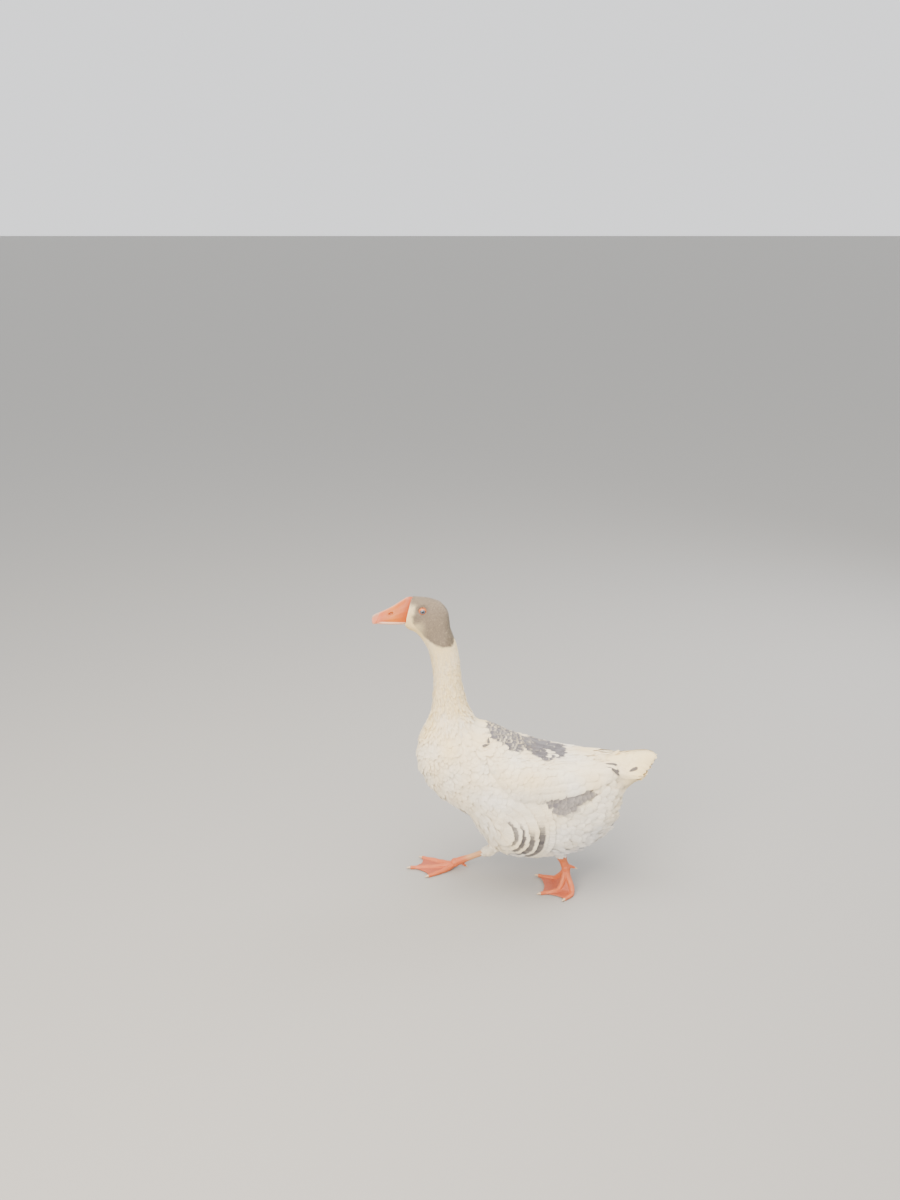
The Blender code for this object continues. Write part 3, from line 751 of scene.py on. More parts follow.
def write_bake_map(mesh, around, blade):
    """OFBake: each feather a small patch at its root's place on the body unrolled round its middle line."""
    turn = np.arctan2(around[:, 1], around[:, 0]) / (2 * math.pi)
    places = np.stack([turn, around[:, 2]], 1)
    low, high = places.min(0), places.max(0)
    places = 0.01 + 0.98 * (places - low) / (high - low)
    places += PATCH * np.stack([0.45 * blade[:, 0], blade[:, 1] - 0.5], 1)
    corner = numbers(mesh.loops, "vertex_index", kind=np.int32)
    layer = mesh.uv_layers.new(name="OFBake")
    layer.uv.foreach_set("vector", places[corner].astype(np.float32).ravel())


def finish_coat(ob):
    """Attributes that only the making needed go; the piece rides on the body."""
    keep = {"position", "mark", "tint", "blade", "OFBake", "material_index", "sharp_face"}
    for name in [a.name for a in ob.data.attributes]:
        if name not in keep and not name.startswith("."):
            ob.data.attributes.remove(ob.data.attributes[name])
    ob.data.shade_smooth()
    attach(ob, "root")


def spread_coat(name, base, room, kind, spacing, disorder, seed, material):
    """One coat piece: feathers of one kind where room is above 0, spaced by the size field."""
    mesh = base.data.copy()
    store(mesh, "roots", room * np.clip((spacing / read(mesh, "spacing")) ** 2, 0, 1))
    ob = add_object(name, mesh)
    modifier = ob.modifiers.new("coat", "NODES")
    modifier.node_group = coat_tree("coat_" + name, feather_patterns(kind), material)
    values = {"Spacing": spacing, "Disorder": disorder, "Seed": seed}
    for item in modifier.node_group.interface.items_tree:
        if item.in_out == "INPUT" and item.name in values:
            modifier[item.identifier] = values[item.name]
    ob = applied(ob, name)
    tint = read(ob.data, "tint")
    tint[:, 2] = read(ob.data, "chance")
    store(ob.data, "tint", tint)
    write_bake_map(ob.data, read(ob.data, "around"), read(ob.data, "blade"))
    finish_coat(ob)


class LongFeathers:
    """Feathers laid one by one along the outer surface, gathered into one mesh."""

    def __init__(self, surface, seed):
        self.surface = surface
        self.rng = np.random.default_rng(seed)
        self.vanes = {}
        self.parts = []
        self.faces = []
        self.count = 0
        self.around = surface.around

    def blade(self, barbs, joints, split, rag, fullest, tip_power):
        """One of four unit blades of a shape, made when first asked for."""
        key = (barbs, joints, split, rag, fullest, tip_power, int(self.rng.integers(4)))
        if key not in self.vanes:
            self.vanes[key] = vane(*key[:4], 7 + key[6], fullest, tip_power, shaft=True)
        return self.vanes[key]

    def backbone(self, tip, heading, length, over, steps=8):
        """Points from root to tip, found on the surface from the tip backwards; over runs on past the tip."""
        tree = self.surface.tree
        point, ahead = Vector(tip), -Vector(heading).normalized()
        spots, outs = [], []
        for i in range(steps + 1):
            found = tree.find_nearest(point)[0]
            out = Vector(self.surface.normals[self.surface.near(found)])
            spots.append(np.array(found))
            outs.append(np.array(out))
            if i < steps:
                ahead = (ahead - out * ahead.dot(out)).normalized()
                point = found + ahead * (length / steps)
        spots, outs = spots[::-1], outs[::-1]
        if over:
            spots.append(spots[-1] + unit(spots[-1] - spots[-2]) * over)
            outs.append(outs[-1])
        spots = np.array(spots)
        run = np.concatenate([[0.0], np.cumsum(np.linalg.norm(np.diff(spots, axis=0), axis=1))])
        return spots, unit(averaged_row(np.array(outs))), run / run[-1]

    def lay(self, tip, heading, length, width, low, high, over=0.0, **more):
        """One feather on the surface, its tip and heading given."""
        spots, outs, rows = self.backbone(tip, heading, length, over)
        self.shape(spots, outs, rows, width, low, high, self.around[self.surface.near(spots[0])], **more)

    def shape(self, spots, outs, rows, width, low, high, around, tilt=0.0, camber=0.06, mark=None, fringe=0.3,
              at_point=0.0, on_wing=0.0, vary=0.0, barbs=20, joints=3, split=0.12, rag=0.03, fullest=0.80,
              tip_power=0.62, snug=True, pale_from=None):
        """One feather along a line of spots; low and high are its heights over them at root and tip."""
        blade, lifts, faces = self.blade(barbs, joints, split, rag, fullest, tip_power)
        x, y = blade[:, 0], blade[:, 1]
        if pale_from is not None:
            blade = np.stack([x, y, step(y, pale_from, 0.94)], 1)
        centre = np.stack([np.interp(y, rows, column) for column in spots.T], 1)
        out = unit(np.stack([np.interp(y, rows, column) for column in outs.T], 1))
        ahead = np.gradient(spots, axis=0)
        ahead = unit(np.stack([np.interp(y, rows, column) for column in ahead.T], 1))
        side = unit(np.cross(ahead, out))
        spot = centre + side * (x * width / 2)[:, None]
        fall = np.zeros(len(spot))
        if snug:
            find = self.surface.tree.find_nearest
            fall = np.array([(p - np.array(find(Vector(p))[0])) @ n for p, n in zip(spot, out)])
        rise = mix(low, high, y) + tilt * x - camber * width * x ** 2 + 0.006 * width * lifts
        points = spot + out * (rise - np.clip(fall, -0.2 * width, 0.2 * width))[:, None]
        middle = centre.mean(0) * 0.35 + spots[-1] * 0.65
        if mark is None:
            mark, stain = markings(middle + (points - middle) * at_point, on_wing)
            mark[:, 2] *= self.rng.uniform(1 - vary, 1 + vary)
        else:
            stain = markings(middle[None])[1][0]
            mark = np.tile(mark, (len(points), 1))
        tint = np.zeros((len(points), 3))
        tint[:, 0], tint[:, 1], tint[:, 2] = stain, fringe, self.rng.random()
        self.parts.append((points, blade, mark, tint, np.tile(around, (len(points), 1))))
        self.faces += [tuple(i + self.count for i in face) for face in faces]
        self.count += len(points)

    def build(self, name, material):
        """The finished coat piece."""
        points, blade, mark, tint, around = (np.concatenate(column) for column in zip(*self.parts))
        mesh = new_mesh(name, points, self.faces, material)
        for label, values in (("blade", blade), ("mark", mark), ("tint", tint)):
            store(mesh, label, values)
        write_bake_map(mesh, around, blade)
        finish_coat(add_object(name, mesh))


def averaged_row(rows):
    """Rows evened with the ones before and after."""
    padded = np.concatenate([rows[:1], rows, rows[-1:]])
    return (padded[:-2] + 2 * padded[1:-1] + padded[2:]) / 4


def wing_edge(y):
    """Height of the folded wing's lower edge."""
    heights = (0.3300, 0.2620, 0.2430, 0.2430, 0.2470, 0.2560, 0.2680)
    return np.interp(y, np.linspace(WING_LOW[1], WING_HIGH[1], len(heights)), heights)


def lay_wing(surface, side, material):
    """Folded wing: secondaries along the lower edge, primaries to the tip, tertials, and rows of coverts."""
    coat = LongFeathers(surface, 11 if side > 0 else 12)
    rng = coat.rng

    def row(spots, slope, length, width, low, high, **more):
        """Feathers with their tips at places seen from the side, all but level."""
        for y, z in spots:
            z += rng.normal(0, 0.8 * MM)
            y += rng.normal(0, 1.2 * MM)
            tip = surface.on_side(y, z, side)
            if tip is None:
                continue
            lean = slope + rng.normal(0, 0.03)
            coat.lay(tip, (0, math.cos(lean), math.sin(lean)), length * rng.uniform(0.95, 1.05),
                     width * rng.uniform(0.95, 1.05), low, high, tilt=0.9 * MM * side, on_wing=1.0, **more)

    primaries = [(y, 0.2725 - 0.10 * (WING_HIGH[1] - y)) for y in (0.160, 0.173, 0.186, 0.198, 0.2095)]
    row(primaries, 0.10, 0.120, 0.022, -3.6 * MM, 0.6 * MM, barbs=26, fullest=0.62, tip_power=0.8,
        at_point=1.0)
    secondaries = [(y, wing_edge(y) + 8 * MM) for y in np.arange(0.012, 0.172, 0.0145)]
    row(secondaries, -0.02, 0.070, 0.025, -3.4 * MM, 1.0 * MM, barbs=24, at_point=0.9)
    tertials = [(0.197, 0.2855), (0.186, 0.2920), (0.170, 0.2785), (0.166, 0.2955), (0.150, 0.2860),
                (0.140, 0.2740), (0.128, 0.2935), (0.118, 0.2820)]
    row(tertials, -0.10, 0.085, 0.027, -2.6 * MM, 1.4 * MM, barbs=24, at_point=0.9)
    greater = [(y, wing_edge(y) + 27 * MM - 0.05 * y) for y in np.arange(-0.012, 0.128, 0.0125)]
    row(greater, -0.10, 0.048, 0.022, -2.4 * MM, 1.5 * MM, barbs=18, at_point=0.7)
    for k, count in enumerate((11, 11, 10)):
        median = [(y, wing_edge(y) + (41 + 13 * k) * MM - 0.06 * y)
                  for y in np.linspace(-0.026 - 0.006 * k, 0.108 - 0.012 * k, count)]
        row(median, -0.12, 0.034 - 0.003 * k, 0.020 - 0.001 * k, -2.4 * MM, 1.5 * MM, barbs=14, joints=2,
            split=0.25, at_point=0.6)
    coat.build("feathers_wing_left" if side > 0 else "feathers_wing_right", material)


def lay_saddle(surface, material):
    """Scapulars and mantle: rows of broad feathers on the back, grey with pale edges over the shoulders."""
    coat = LongFeathers(surface, 21)
    rng = coat.rng
    for i, y in enumerate(np.arange(0.128, -0.066, -0.0105)):
        rear = float(step(y, 0.0, 0.06))
        for j, side in itertools.product(range(6), (-1, 1)):
            aside = (j + 0.5 * (i % 2) + 0.1) * 0.0098
            x = side * (aside + rng.normal(0, 0.7 * MM))
            tip = surface.from_above(x, y + rng.normal(0, 2.8 * MM))
            if tip is None:
                continue
            in_gap = 0.066 < y < 0.094 and 0.004 < aside < 0.027 and side > 0
            white = (0.0, 0.0, 0.0) if in_gap and rng.random() < 0.80 else None
            coat.lay(tip, (0.26 * side * j / 5, 1.0, -0.1), mix(0.036, 0.050, rear) * rng.uniform(0.9, 1.1),
                     mix(0.019, 0.014, rear), -4.0 * MM, 0.4 * MM, tilt=0.5 * MM * side, barbs=14, joints=2,
                     split=0.25, rag=0.06, fullest=mix(0.74, 0.55, rear), tip_power=mix(0.7, 1.05, rear),
                     fringe=(1 - rear) * rng.uniform(0.1, 0.65), at_point=0.3, vary=0.7, mark=white)
    coat.build("feathers_saddle", material)


def lay_tail(surface, material):
    """Tail: a roofed fan of rectrices, shorter ones under them, and two rows of coverts over the roots."""
    coat = LongFeathers(surface, 31)

    def fan(count, back, length, width, face, low, high, **more):
        """Feathers spread over the tail, the outermost first; face is 1 underneath and -1 on top."""
        shares = np.linspace(-1, 1, count)
        for i in np.argsort(-np.abs(shares)):
            v = shares[i]
            y = TAIL_HIGH[1] - 0.032 * abs(v) ** 1.6 - back
            tip = surface.from_above(v * (TAIL_HIGH[0] - 5 * MM), y, face)
            if tip is None:
                continue
            coat.lay(tip, (0.24 * v, 1.0, 0.02), length * coat.rng.uniform(0.97, 1.03), width, low, high,
                     over=(3 + 4 * (i % 2)) * (1.2 - abs(v)) * MM if back < 0.01 else 0.0,
                     tilt=1.6 * MM * (-1 if v < 0 else 1) * face, barbs=24, at_point=1.0, **more)

    fan(15, 3.0 * MM, 0.092, 0.0175, 1, -1.5 * MM, 0.6 * MM, fullest=0.8, tip_power=0.75)
    fan(16, 2.0 * MM, 0.100, 0.0185, -1, -2.0 * MM, 1.0 * MM, fullest=0.8, tip_power=0.80)
    fan(11, 0.045, 0.046, 0.019, -1, -2.0 * MM, 1.6 * MM)
    fan(11, 0.064, 0.040, 0.019, -1, -2.0 * MM, 2.0 * MM)
    coat.build("feathers_tail", material)


RIPPLE_CENTRE = (-0.040, 0.166)         # middle of the flank's curved rows, seen from the side


def ripple_room(points):
    """1 where the flank's curved rows are laid."""
    y, z = points[:, 1] - RIPPLE_CENTRE[0], points[:, 2] - RIPPLE_CENTRE[1]
    radius, angle = np.hypot(y, z), np.arctan2(z, y)
    out = step(radius, 0.014, 0.020) * (1 - step(radius, 0.098, 0.102))
    turned = step(angle, -1.45, -1.35) * (1 - step(angle, 0.75, 0.85))
    return out * turned * step(np.abs(points[:, 0]), 0.05, 0.06)


# Curved rows on the flank: radius of the tips, half turn of the row, grey, where the grey starts and ends.
RIPPLES = ((0.120, 1.2, 0.0, 0.0, 0.5), (0.107, 1.3, 1.0, -0.85, 0.25), (0.086, 1.5, 1.0, -0.95, 0.12),
           (0.066, 1.6, 1.0, -1.00, 0.48), (0.050, 1.6, 0.9, -0.80, 0.95), (0.034, 1.6, 0.10, -0.8, 0.5))

# Short dark feathers on the left side, laid as painted shade in gaps: tip, heading, length and width, each
# seen from the side.
SHADE_SLIVERS = (
    ((0.2095, 0.2895), (1.0, -0.15), 0.030, 0.0085),      # fork between the wing's tip and the tail
    ((0.2125, 0.2800), (1.0, -0.50), 0.030, 0.0100),
    ((0.2125, 0.2740), (1.0, -0.80), 0.018, 0.0050),
    ((0.2515, 0.2875), (0.8, 0.55), 0.026, 0.0085),       # gap between two tail feathers
    ((-0.0590, 0.3490), (-0.25, -1.0), 0.018, 0.0060),    # crescent at the wing's bend
    ((-0.0715, 0.3455), (-0.90, -0.40), 0.018, 0.0060),
)


def lay_ripples(surface, coat):
    """Curved rows behind the breast, dark with white ends; the dark wanes towards both ends of its arc."""
    rng = coat.rng
    for radius, reach, grey, start, end in RIPPLES:
        count = int(2 * reach * radius / 0.0078) + 2
        for angle, side in itertools.product(np.linspace(-reach, 0.75 * reach, count), (-1, 1)):
            turn = angle + rng.normal(0, 0.02)
            out = radius + rng.normal(0, 0.8 * MM)
            tip = surface.on_side(RIPPLE_CENTRE[0] + out * math.cos(turn),
                                  RIPPLE_CENTRE[1] + out * math.sin(turn), side)
            if tip is None or tip[0] * side < 0.05:
                continue
            # Painted shade: past a row's lower end a faint grey stays on the belly's underside.
            underside_shade = 0.35 * (1 - step(angle, start - 0.15, start + 0.10)) * step(angle, -1.7, -1.4)
            shade = grey * (1 - step(angle, end - 0.25, end + 0.20))
            shade *= max(step(angle, start - 0.15, start + 0.15), underside_shade) * rng.uniform(0.88, 1.0)
            from_middle = min(((2 * angle - start - end) / (end - start)) ** 2, 1.0)
            lean = 0.6 * turn - 0.15
            coat.lay(tip, (0, math.cos(lean), math.sin(lean)), 0.036, 0.023, -3.8 * MM, 1.0 * MM, barbs=14,
                     joints=2, split=0.35, rag=0.10, tip_power=0.5, mark=(shade, 0.1, 0.95 * shade),
                     fringe=1.0, pale_from=0.44 - 0.24 * from_middle)


def lay_band(surface, coat):
    """Rows of grey feathers that come out from under the folded wing."""
    rng = coat.rng
    heights, places = (0.030, 0.020, 0.010, 0.0), np.arange(0.050, 0.168, 0.0085)
    for above, y, side in itertools.product(heights, places, (-1, 1)):
        low = np.interp(y, *zip(*BAND_EDGE))
        if low + above > wing_edge(y) + 0.014:
            continue
        back, up = rng.normal(0, 1.5 * MM), rng.normal(0, 1.2 * MM)
        tip = surface.on_side(y + back, low + above + up, side)
        if tip is None or surface.share("wing_left", "wing_right")[surface.near(tip)] > 0.5:
            continue
        shade = float(step(y, 0.040, 0.075)) * rng.uniform(0.85, 1.0)
        coat.lay(tip, (0, 0.85, -0.50 * float(1 - step(y, 0.10, 0.15))), 0.034, 0.016, -3.4 * MM, 1.3 * MM,
                 barbs=14, joints=2, split=0.3, rag=0.08, fullest=0.6, tip_power=0.9,
                 mark=(shade, 0.0, 0.30 * shade), fringe=0.1)


def lay_flanks(surface, material):
    """Flank feathers: the curved rows, the band under the wing, and the left side's short dark feathers, laid
    as painted shade in gaps.
    """
    coat = LongFeathers(surface, 41)
    lay_ripples(surface, coat)
    lay_band(surface, coat)
    for (y, z), (back, up), length, width in SHADE_SLIVERS:
        coat.lay(surface.on_side(y, z), (0, back, up), length, width, 0.4 * MM, 2.3 * MM, barbs=10, joints=2,
                 split=0.3, rag=0.12, fullest=0.50, tip_power=1.2, mark=(0.95, 0.15, 0.9), fringe=0.0)
    coat.build("feathers_flanks", material)


# Tops of the shanks inside the belly's coat: (root, way down the leg, radius there, feather length).
CUFFS = (
    ((0.0289, 0.0914, 0.0990), (-0.035, 0.366, -1.0), 0.0128, 0.017),
    ((-0.0350, -0.0385, 0.0566), (-0.0105, -0.078, -0.038), 0.0104, 0.020),
)


def lay_cuffs(surface, material):
    """Short feathers round the tops of both shanks, where the coat ends over the scaled skin."""
    coat = LongFeathers(surface, 51)
    rng = coat.rng
    for root, ahead, radius, reach in CUFFS:
        ahead = unit(np.array(ahead))
        across = unit(np.cross(ahead, (1.0, 0.2, 0.1)))
        other = np.cross(ahead, across)
        around = coat.around[surface.near(root)]
        for ring, count in ((0.55, 16), (0.25, 16), (0.0, 14)):
            for k in range(count):
                turn = 2 * math.pi * (k + rng.uniform(-0.35, 0.35)) / count + ring
                out = across * math.cos(turn) + other * math.sin(turn)
                first = np.array(root) + ahead * (ring * reach + rng.normal(0, 1 * MM))
                length = reach * rng.uniform(0.75, 1.05)
                rows = np.linspace(0, 1, 5)
                wide = radius * (1.16 - 0.10 * ring - 0.14 * rows)
                spots = first + ahead * length * rows[:, None] + out * wide[:, None]
                # Painted shade: the cuff feathers are greyed towards tan, as in the shadow under the belly.
                coat.shape(spots, np.tile(out, (5, 1)), rows, 0.0085, -1.5 * MM, 0.8 * MM, around, barbs=9,
                           joints=2, split=0.8, rag=0.25, fullest=0.7, tip_power=0.8, mark=(0.22, 0.6, 0.0),
                           snug=False)
    coat.build("feathers_cuffs", material)


# ---------------------------------------------------------------- skin, legs and claws
def inset_skin(surface, depth):
    """The outer surface moved in by the coat's depth, less where the body is thin."""
    mesh = surface.outer.data.copy()
    mesh.name = "skin"
    room = []
    for point, normal in zip(surface.points, surface.normals):
        through = surface.tree.ray_cast(Vector(point - normal * 0.3 * MM), -Vector(normal))[3]
        room.append(1.0 if through is None else through)
    thin = averaged(np.array(room), surface.edges, 2, 0.5)
    depth = averaged(np.minimum(depth, 0.30 * thin), surface.edges, 2, 0.5)
    points = surface.points - surface.normals * depth[:, None]
    tail_root = TAIL_LOW[1] + 0.35 * (TAIL_HIGH[1] - TAIL_LOW[1])
    points[:, 1] -= 0.22 * np.maximum(points[:, 1] - tail_root, 0)
    points[:, 0] *= 1 - 0.12 * step(points[:, 1], TAIL_LOW[1], TAIL_HIGH[1])
    set_points(mesh, points)
    return mesh


# By side: where the toes meet, the axis along which the shank's top is found, and the way it is drawn.
LEGS = {
    "left": ((0.0270, 0.1115, 0.0440), 2, (0.03, -0.37, 1.0)),
    "right": ((-0.0465, -0.1260, 0.0140), 1, (0.10, 0.85, 0.50)),
}


def leg_mesh(side):
    """Shank and webbed foot as one skin, the top drawn up into the belly's feathers."""
    ob = refined("leg_" + side, ("shank_" + side, "foot_" + side), 0.95 * MM, 4, swell=0.25 * MM)
    points = points_of(ob.data)
    axis, way_up = LEGS[side][1:]
    top = points[:, axis].max()
    points += step(points[:, axis], top - 4 * MM, top)[:, None] * 9 * MM * unit(np.array(way_up))
    points[:, 2] = np.maximum(points[:, 2], 0.0)
    set_points(ob.data, points)
    return ob


def leg_material():
    """Scaled leg skin: plates 2.4 mm apart round the toes and shank, grain 1.1 mm wide on the webs."""
    return make_material("scaled_leg_skin", (
        ("from_left", "VectorMath", {0: "where", 1: LEGS["left"][0]}, DISTANCE),
        ("from_right", "VectorMath", {0: "where", 1: LEGS["right"][0]}, DISTANCE),
        ("along", "Math", {0: "from_left", 1: "from_right"}, {"operation": "MINIMUM"}),
        ("wobble", "TexNoise", {"Vector": "where", "Scale": 1 / (6.25 * MM), "Detail": 1.0}),
        ("bent", "Math", {0: "wobble", 1: 2.2 * MM, 2: "along"}, MULTIPLY_ADD),
        ("phase", "Math", {0: "bent", 1: 2 * math.pi / (2.4 * MM)}, TIMES),
        ("plates", "Math", {0: "phase"}, {"operation": "SINE"}),
        ("grooves", "MapRange", {0: "plates", 1: -1.0, 2: -0.55}),
        ("cells", "TexVoronoi", {"Vector": "where", "Scale": 1 / (1.11 * MM)},
         {"feature": "DISTANCE_TO_EDGE"}),
        ("net", "MapRange", {0: "cells", 1: 0.0, 2: 0.12}),
        ("mark", "Attribute", {}, {"attribute_name": "mark"}),
        ("parts", "SeparateXYZ", {0: "mark.Vector"}),       # thickness, paleness
        ("relief", "Mix", {0: "parts.X", 2: "net", 3: "grooves"}),
        ("patch", "TexNoise", {"Vector": "where", "Scale": 1 / (14.3 * MM), "Detail": 3.0}),
        ("web", "Mix", {0: "patch", 6: "#A84C30", 7: "#B85E3C"}, COLOUR),
        ("plate", "Mix", {0: "patch", 6: "#C25A2E", 7: "#CC7040"}, COLOUR),
        ("foot", "Mix", {0: "parts.X", 6: "web", 7: "plate"}, COLOUR),
        ("skin", "Mix", {0: "parts.Y", 6: "foot", 7: "#CE9868"}, COLOUR),
        ("depth", "MapRange", {0: "relief", 1: 0.0, 2: 0.8, 3: 0.28, 4: 0.0}),
        ("colour", "Mix", {0: "depth", 6: "skin", 7: "#8A4430"}, COLOUR),
        ("bump", "Bump", {"Height": "relief", "Strength": 0.45, "Distance": 0.0003}),
    ), Roughness=0.46, Specular_IOR_Level=0.5)


def make_skin(body_mesh, surface, plumage, leg_skin):
    """One object: the feathered body's skin and both scaled legs."""
    points = [points_of(body_mesh)]
    faces = [tuple(p.vertices) for p in body_mesh.polygons]
    slots = [0] * len(faces)
    body_mark, stain = markings(surface.points)
    mark = [body_mark]
    tint = [np.stack([stain, np.zeros(len(stain)), np.full(len(stain), 0.4)], 1)]
    count = len(points[0])
    for side in ("left", "right"):
        leg = leg_mesh(side)
        at = points_of(leg.data)
        tree = face_tree(leg.data, at)
        room = np.array([tree.ray_cast(Vector(p - n * 0.2 * MM), Vector(-n))[3] or 0.0
                         for p, n in zip(at, normals_of(leg.data))])
        thick = averaged(step(room, 2.6 * MM, 4.2 * MM), edges_of(leg.data), 2, 0.4)
        from_joint = np.linalg.norm(at - np.array(LEGS[side][0]), axis=1)
        pale = step(from_joint, 0.020, 0.040) * step(at[:, 2], 0.016, 0.030)
        pale *= 1.0 if side == "right" else 0.4
        faces += [tuple(i + count for i in p.vertices) for p in leg.data.polygons]
        slots += [1] * len(leg.data.polygons)
        points.append(at)
        mark.append(np.stack([thick, pale, np.zeros(len(at))], 1))
        tint.append(np.zeros((len(at), 3)))
        count += len(at)
        bpy.data.objects.remove(leg)
    mesh = new_mesh("skin", np.concatenate(points), faces, plumage, leg_skin)
    mesh.polygons.foreach_set("material_index", np.array(slots, np.int32))
    store(mesh, "mark", np.concatenate(mark))
    store(mesh, "tint", np.concatenate(tint))
    store(mesh, "blade", np.tile((0.0, 1.0, 0.0), (count, 1)))
    mesh.shade_smooth()
    skin = add_object("skin", mesh)
    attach(skin, "root")
    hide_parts(*FLESH, "shank_left", "shank_right", "foot_left", "foot_right")


def patchy_material(name, first, second, roughness):
    """Horn or thin skin, satin: two close colours in soft patches 3.3 mm wide, which its relief follows."""
    return make_material(name, (
        ("patch", "TexNoise", {"Vector": "where", "Scale": 1 / (3.33 * MM), "Detail": 3.0}),
        ("colour", "Mix", {0: "patch", 6: first, 7: second}, COLOUR),
        ("bump", "Bump", {"Height": "patch", "Strength": 0.2, "Distance": 0.0003}),
    ), Roughness=roughness)


def make_claws():
    """Horn claws, one piece for each foot."""
    horn = patchy_material("claw_horn", "#D9C3A0", "#B99A78", 0.38)
    for side in ("left", "right"):
        names = [f"claw_{side}_{toe}" for toe in ("inner", "middle", "outer", "hind")]
        claws = refined("claws_" + side, names, 0.40 * MM, 3)
        claws.data.materials.append(horn)
        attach(claws, "root")
        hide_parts(*names)


# ---------------------------------------------------------------- bill and eyes
def bill_material():
    """Bill keratin over blood-filled skin: satin orange, yellower in the middle, pink at the nail.

    Its colours waver in blotches 11 mm wide, and its grain is 1.4 mm wide so that it shows.
    """
    stops = ((0.00, "#DDA08E"), (0.14, "#CC7450"), (0.30, "#B24C0C"), (0.58, "#BC6200"), (0.80, "#B25200"),
             (1.00, "#A04204"))
    return make_material("bill_keratin", (
        ("parts", "SeparateXYZ", {0: "where"}),
        ("blotch", "TexNoise", {"Vector": "where", "Scale": 1 / (11.1 * MM), "Detail": 3.0}),
        ("shifted", "Math", {0: "blotch", 1: 0.010, 2: "parts.Y"}, MULTIPLY_ADD),
        ("length", "MapRange", {0: "shifted", 1: BILL_LOW[1], 2: BILL_HIGH[1]}),
        ("ground", "ValToRGB", {0: "length"}, {"stops": stops}),
        ("feature", "Attribute", {}, {"attribute_name": "feature"}),
        ("features", "SeparateXYZ", {0: "feature.Vector"}),     # nostril, smudge, pale
        # Painted shade: the nostril's hole and the hollow round it are darkened.
        ("nostril", "Mix", {0: "features.X", 6: "ground", 7: "#8E3F22"}, COLOUR),
        ("smudged", "Mix", {0: "features.Y", 6: "nostril", 7: "#8A7664"}, COLOUR),
        # The pale share is the bill's pale rim, and on the culmen a painted highlight.
        ("colour", "Mix", {0: "features.Z", 6: "smudged", 7: "#F9D9C0"}, COLOUR),
        ("grain", "TexNoise", {"Vector": "where", "Scale": 1 / (1.43 * MM), "Detail": 3.0}),
        ("bump", "Bump", {"Height": "grain", "Strength": 0.12, "Distance": 0.0003}),
    ), Roughness=0.42, Specular_IOR_Level=0.35, Coat_Weight=0.10, Coat_Roughness=0.25)


NOSTRIL = (-0.2565, 0.6150)         # place along the bill and height
NOSTRIL_SLOPE = math.radians(24)


def sculpt_bill(mesh):
    """Nostrils, nail, ribbed edge and culmen on the upper bill, with their shares stored for the colours."""
    points, normals = points_of(mesh), normals_of(mesh)
    x, y, z = points.T
    along, up = math.cos(NOSTRIL_SLOPE), math.sin(NOSTRIL_SLOPE)
    run = (y - NOSTRIL[0]) * along + (z - NOSTRIL[1]) * up
    rise = -(y - NOSTRIL[0]) * up + (z - NOSTRIL[1]) * along
    on_side = step(np.abs(normals[:, 0]), 0.3, 0.6)
    fossa = np.exp(-((run / 0.0125) ** 2 + (rise / 0.0058) ** 2) ** 1.5) * on_side
    hole = (1 - step(np.sqrt((run / 0.0052) ** 2 + (rise / 0.0019) ** 2), 0.65, 1.15)) * on_side
    lip = np.exp(-((np.sqrt((run / 0.0066) ** 2 + (rise / 0.0031) ** 2) - 1) / 0.30) ** 2) * on_side
    back = y - BILL_LOW[1]
    nail_end = 0.0150 - 0.35 * np.maximum(np.abs(x) - 0.004, 0) - 0.3 * np.maximum(0.606 - z, 0)
    nail = 1 - step(back, nail_end - 0.8 * MM, nail_end)
    nail_groove = np.exp(-((back - nail_end) / (0.9 * MM)) ** 2)
    edge = 1 - step(z, 0.5965, 0.5995)
    ribs = edge * (1 - step(back, 0.060, 0.070)) * step(back, 0.010, 0.018)
    ribs *= np.sin(2 * math.pi * y / (1.9 * MM))
    culmen = np.exp(-(x / 0.0035) ** 2) * step(normals[:, 2], 0.2, 0.6)
    push = -0.7 * fossa - 2.2 * hole + 0.35 * (lip + nail) - 0.30 * nail_groove + 0.14 * ribs + 0.25 * culmen
    smudge = nail * step(z, 0.600, 0.606) * np.exp(-(x / 0.006) ** 2)
    pale = 0.75 * edge * step(y, -0.285, -0.270)
    # Painted highlight: a pale streak along the culmen's ridge.
    pale += 0.30 * culmen * (1 - step(y, BILL_HIGH[1] - 0.010, BILL_HIGH[1]))
    points = points + normals * (push * MM)[:, None]
    points[:, 1] += 4 * MM * step(bill_border(points), -2.5 * MM, -0.5 * MM)
    set_points(mesh, points)
    # The first share is painted shade in the nostril's hole and hollow.
    feature = np.stack([np.maximum(0.85 * hole, 0.30 * fossa), 0.8 * smudge, np.clip(pale, 0, 1)], 1)
    store(mesh, "feature", feature)


def make_bill(material):
    """Upper bill, its cutting edge kept crisp, and lower bill with a plain pale rim."""
    upper = refined("bill_upper", ("upper_bill",), 0.62 * MM, 4)
    crisp = points_of(upper.data)
    smoothed(upper.data, 70, 0.553)
    at_edge = 1 - step(crisp[:, 2], 0.5955, 0.6005)
    set_points(upper.data, mix(points_of(upper.data), crisp, 0.8 * at_edge[:, None]))
    sculpt_bill(upper.data)
    lower = refined("bill_lower", ("lower_bill",), 0.50 * MM, 5)
    store(lower.data, "feature", np.tile((0.0, 0.0, 0.55), (len(lower.data.vertices), 1)))
    for ob, node_name in ((upper, "upper_bill"), (lower, "lower_bill")):
        ob.data.materials.append(material)
        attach(ob, "root")
        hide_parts(node_name)


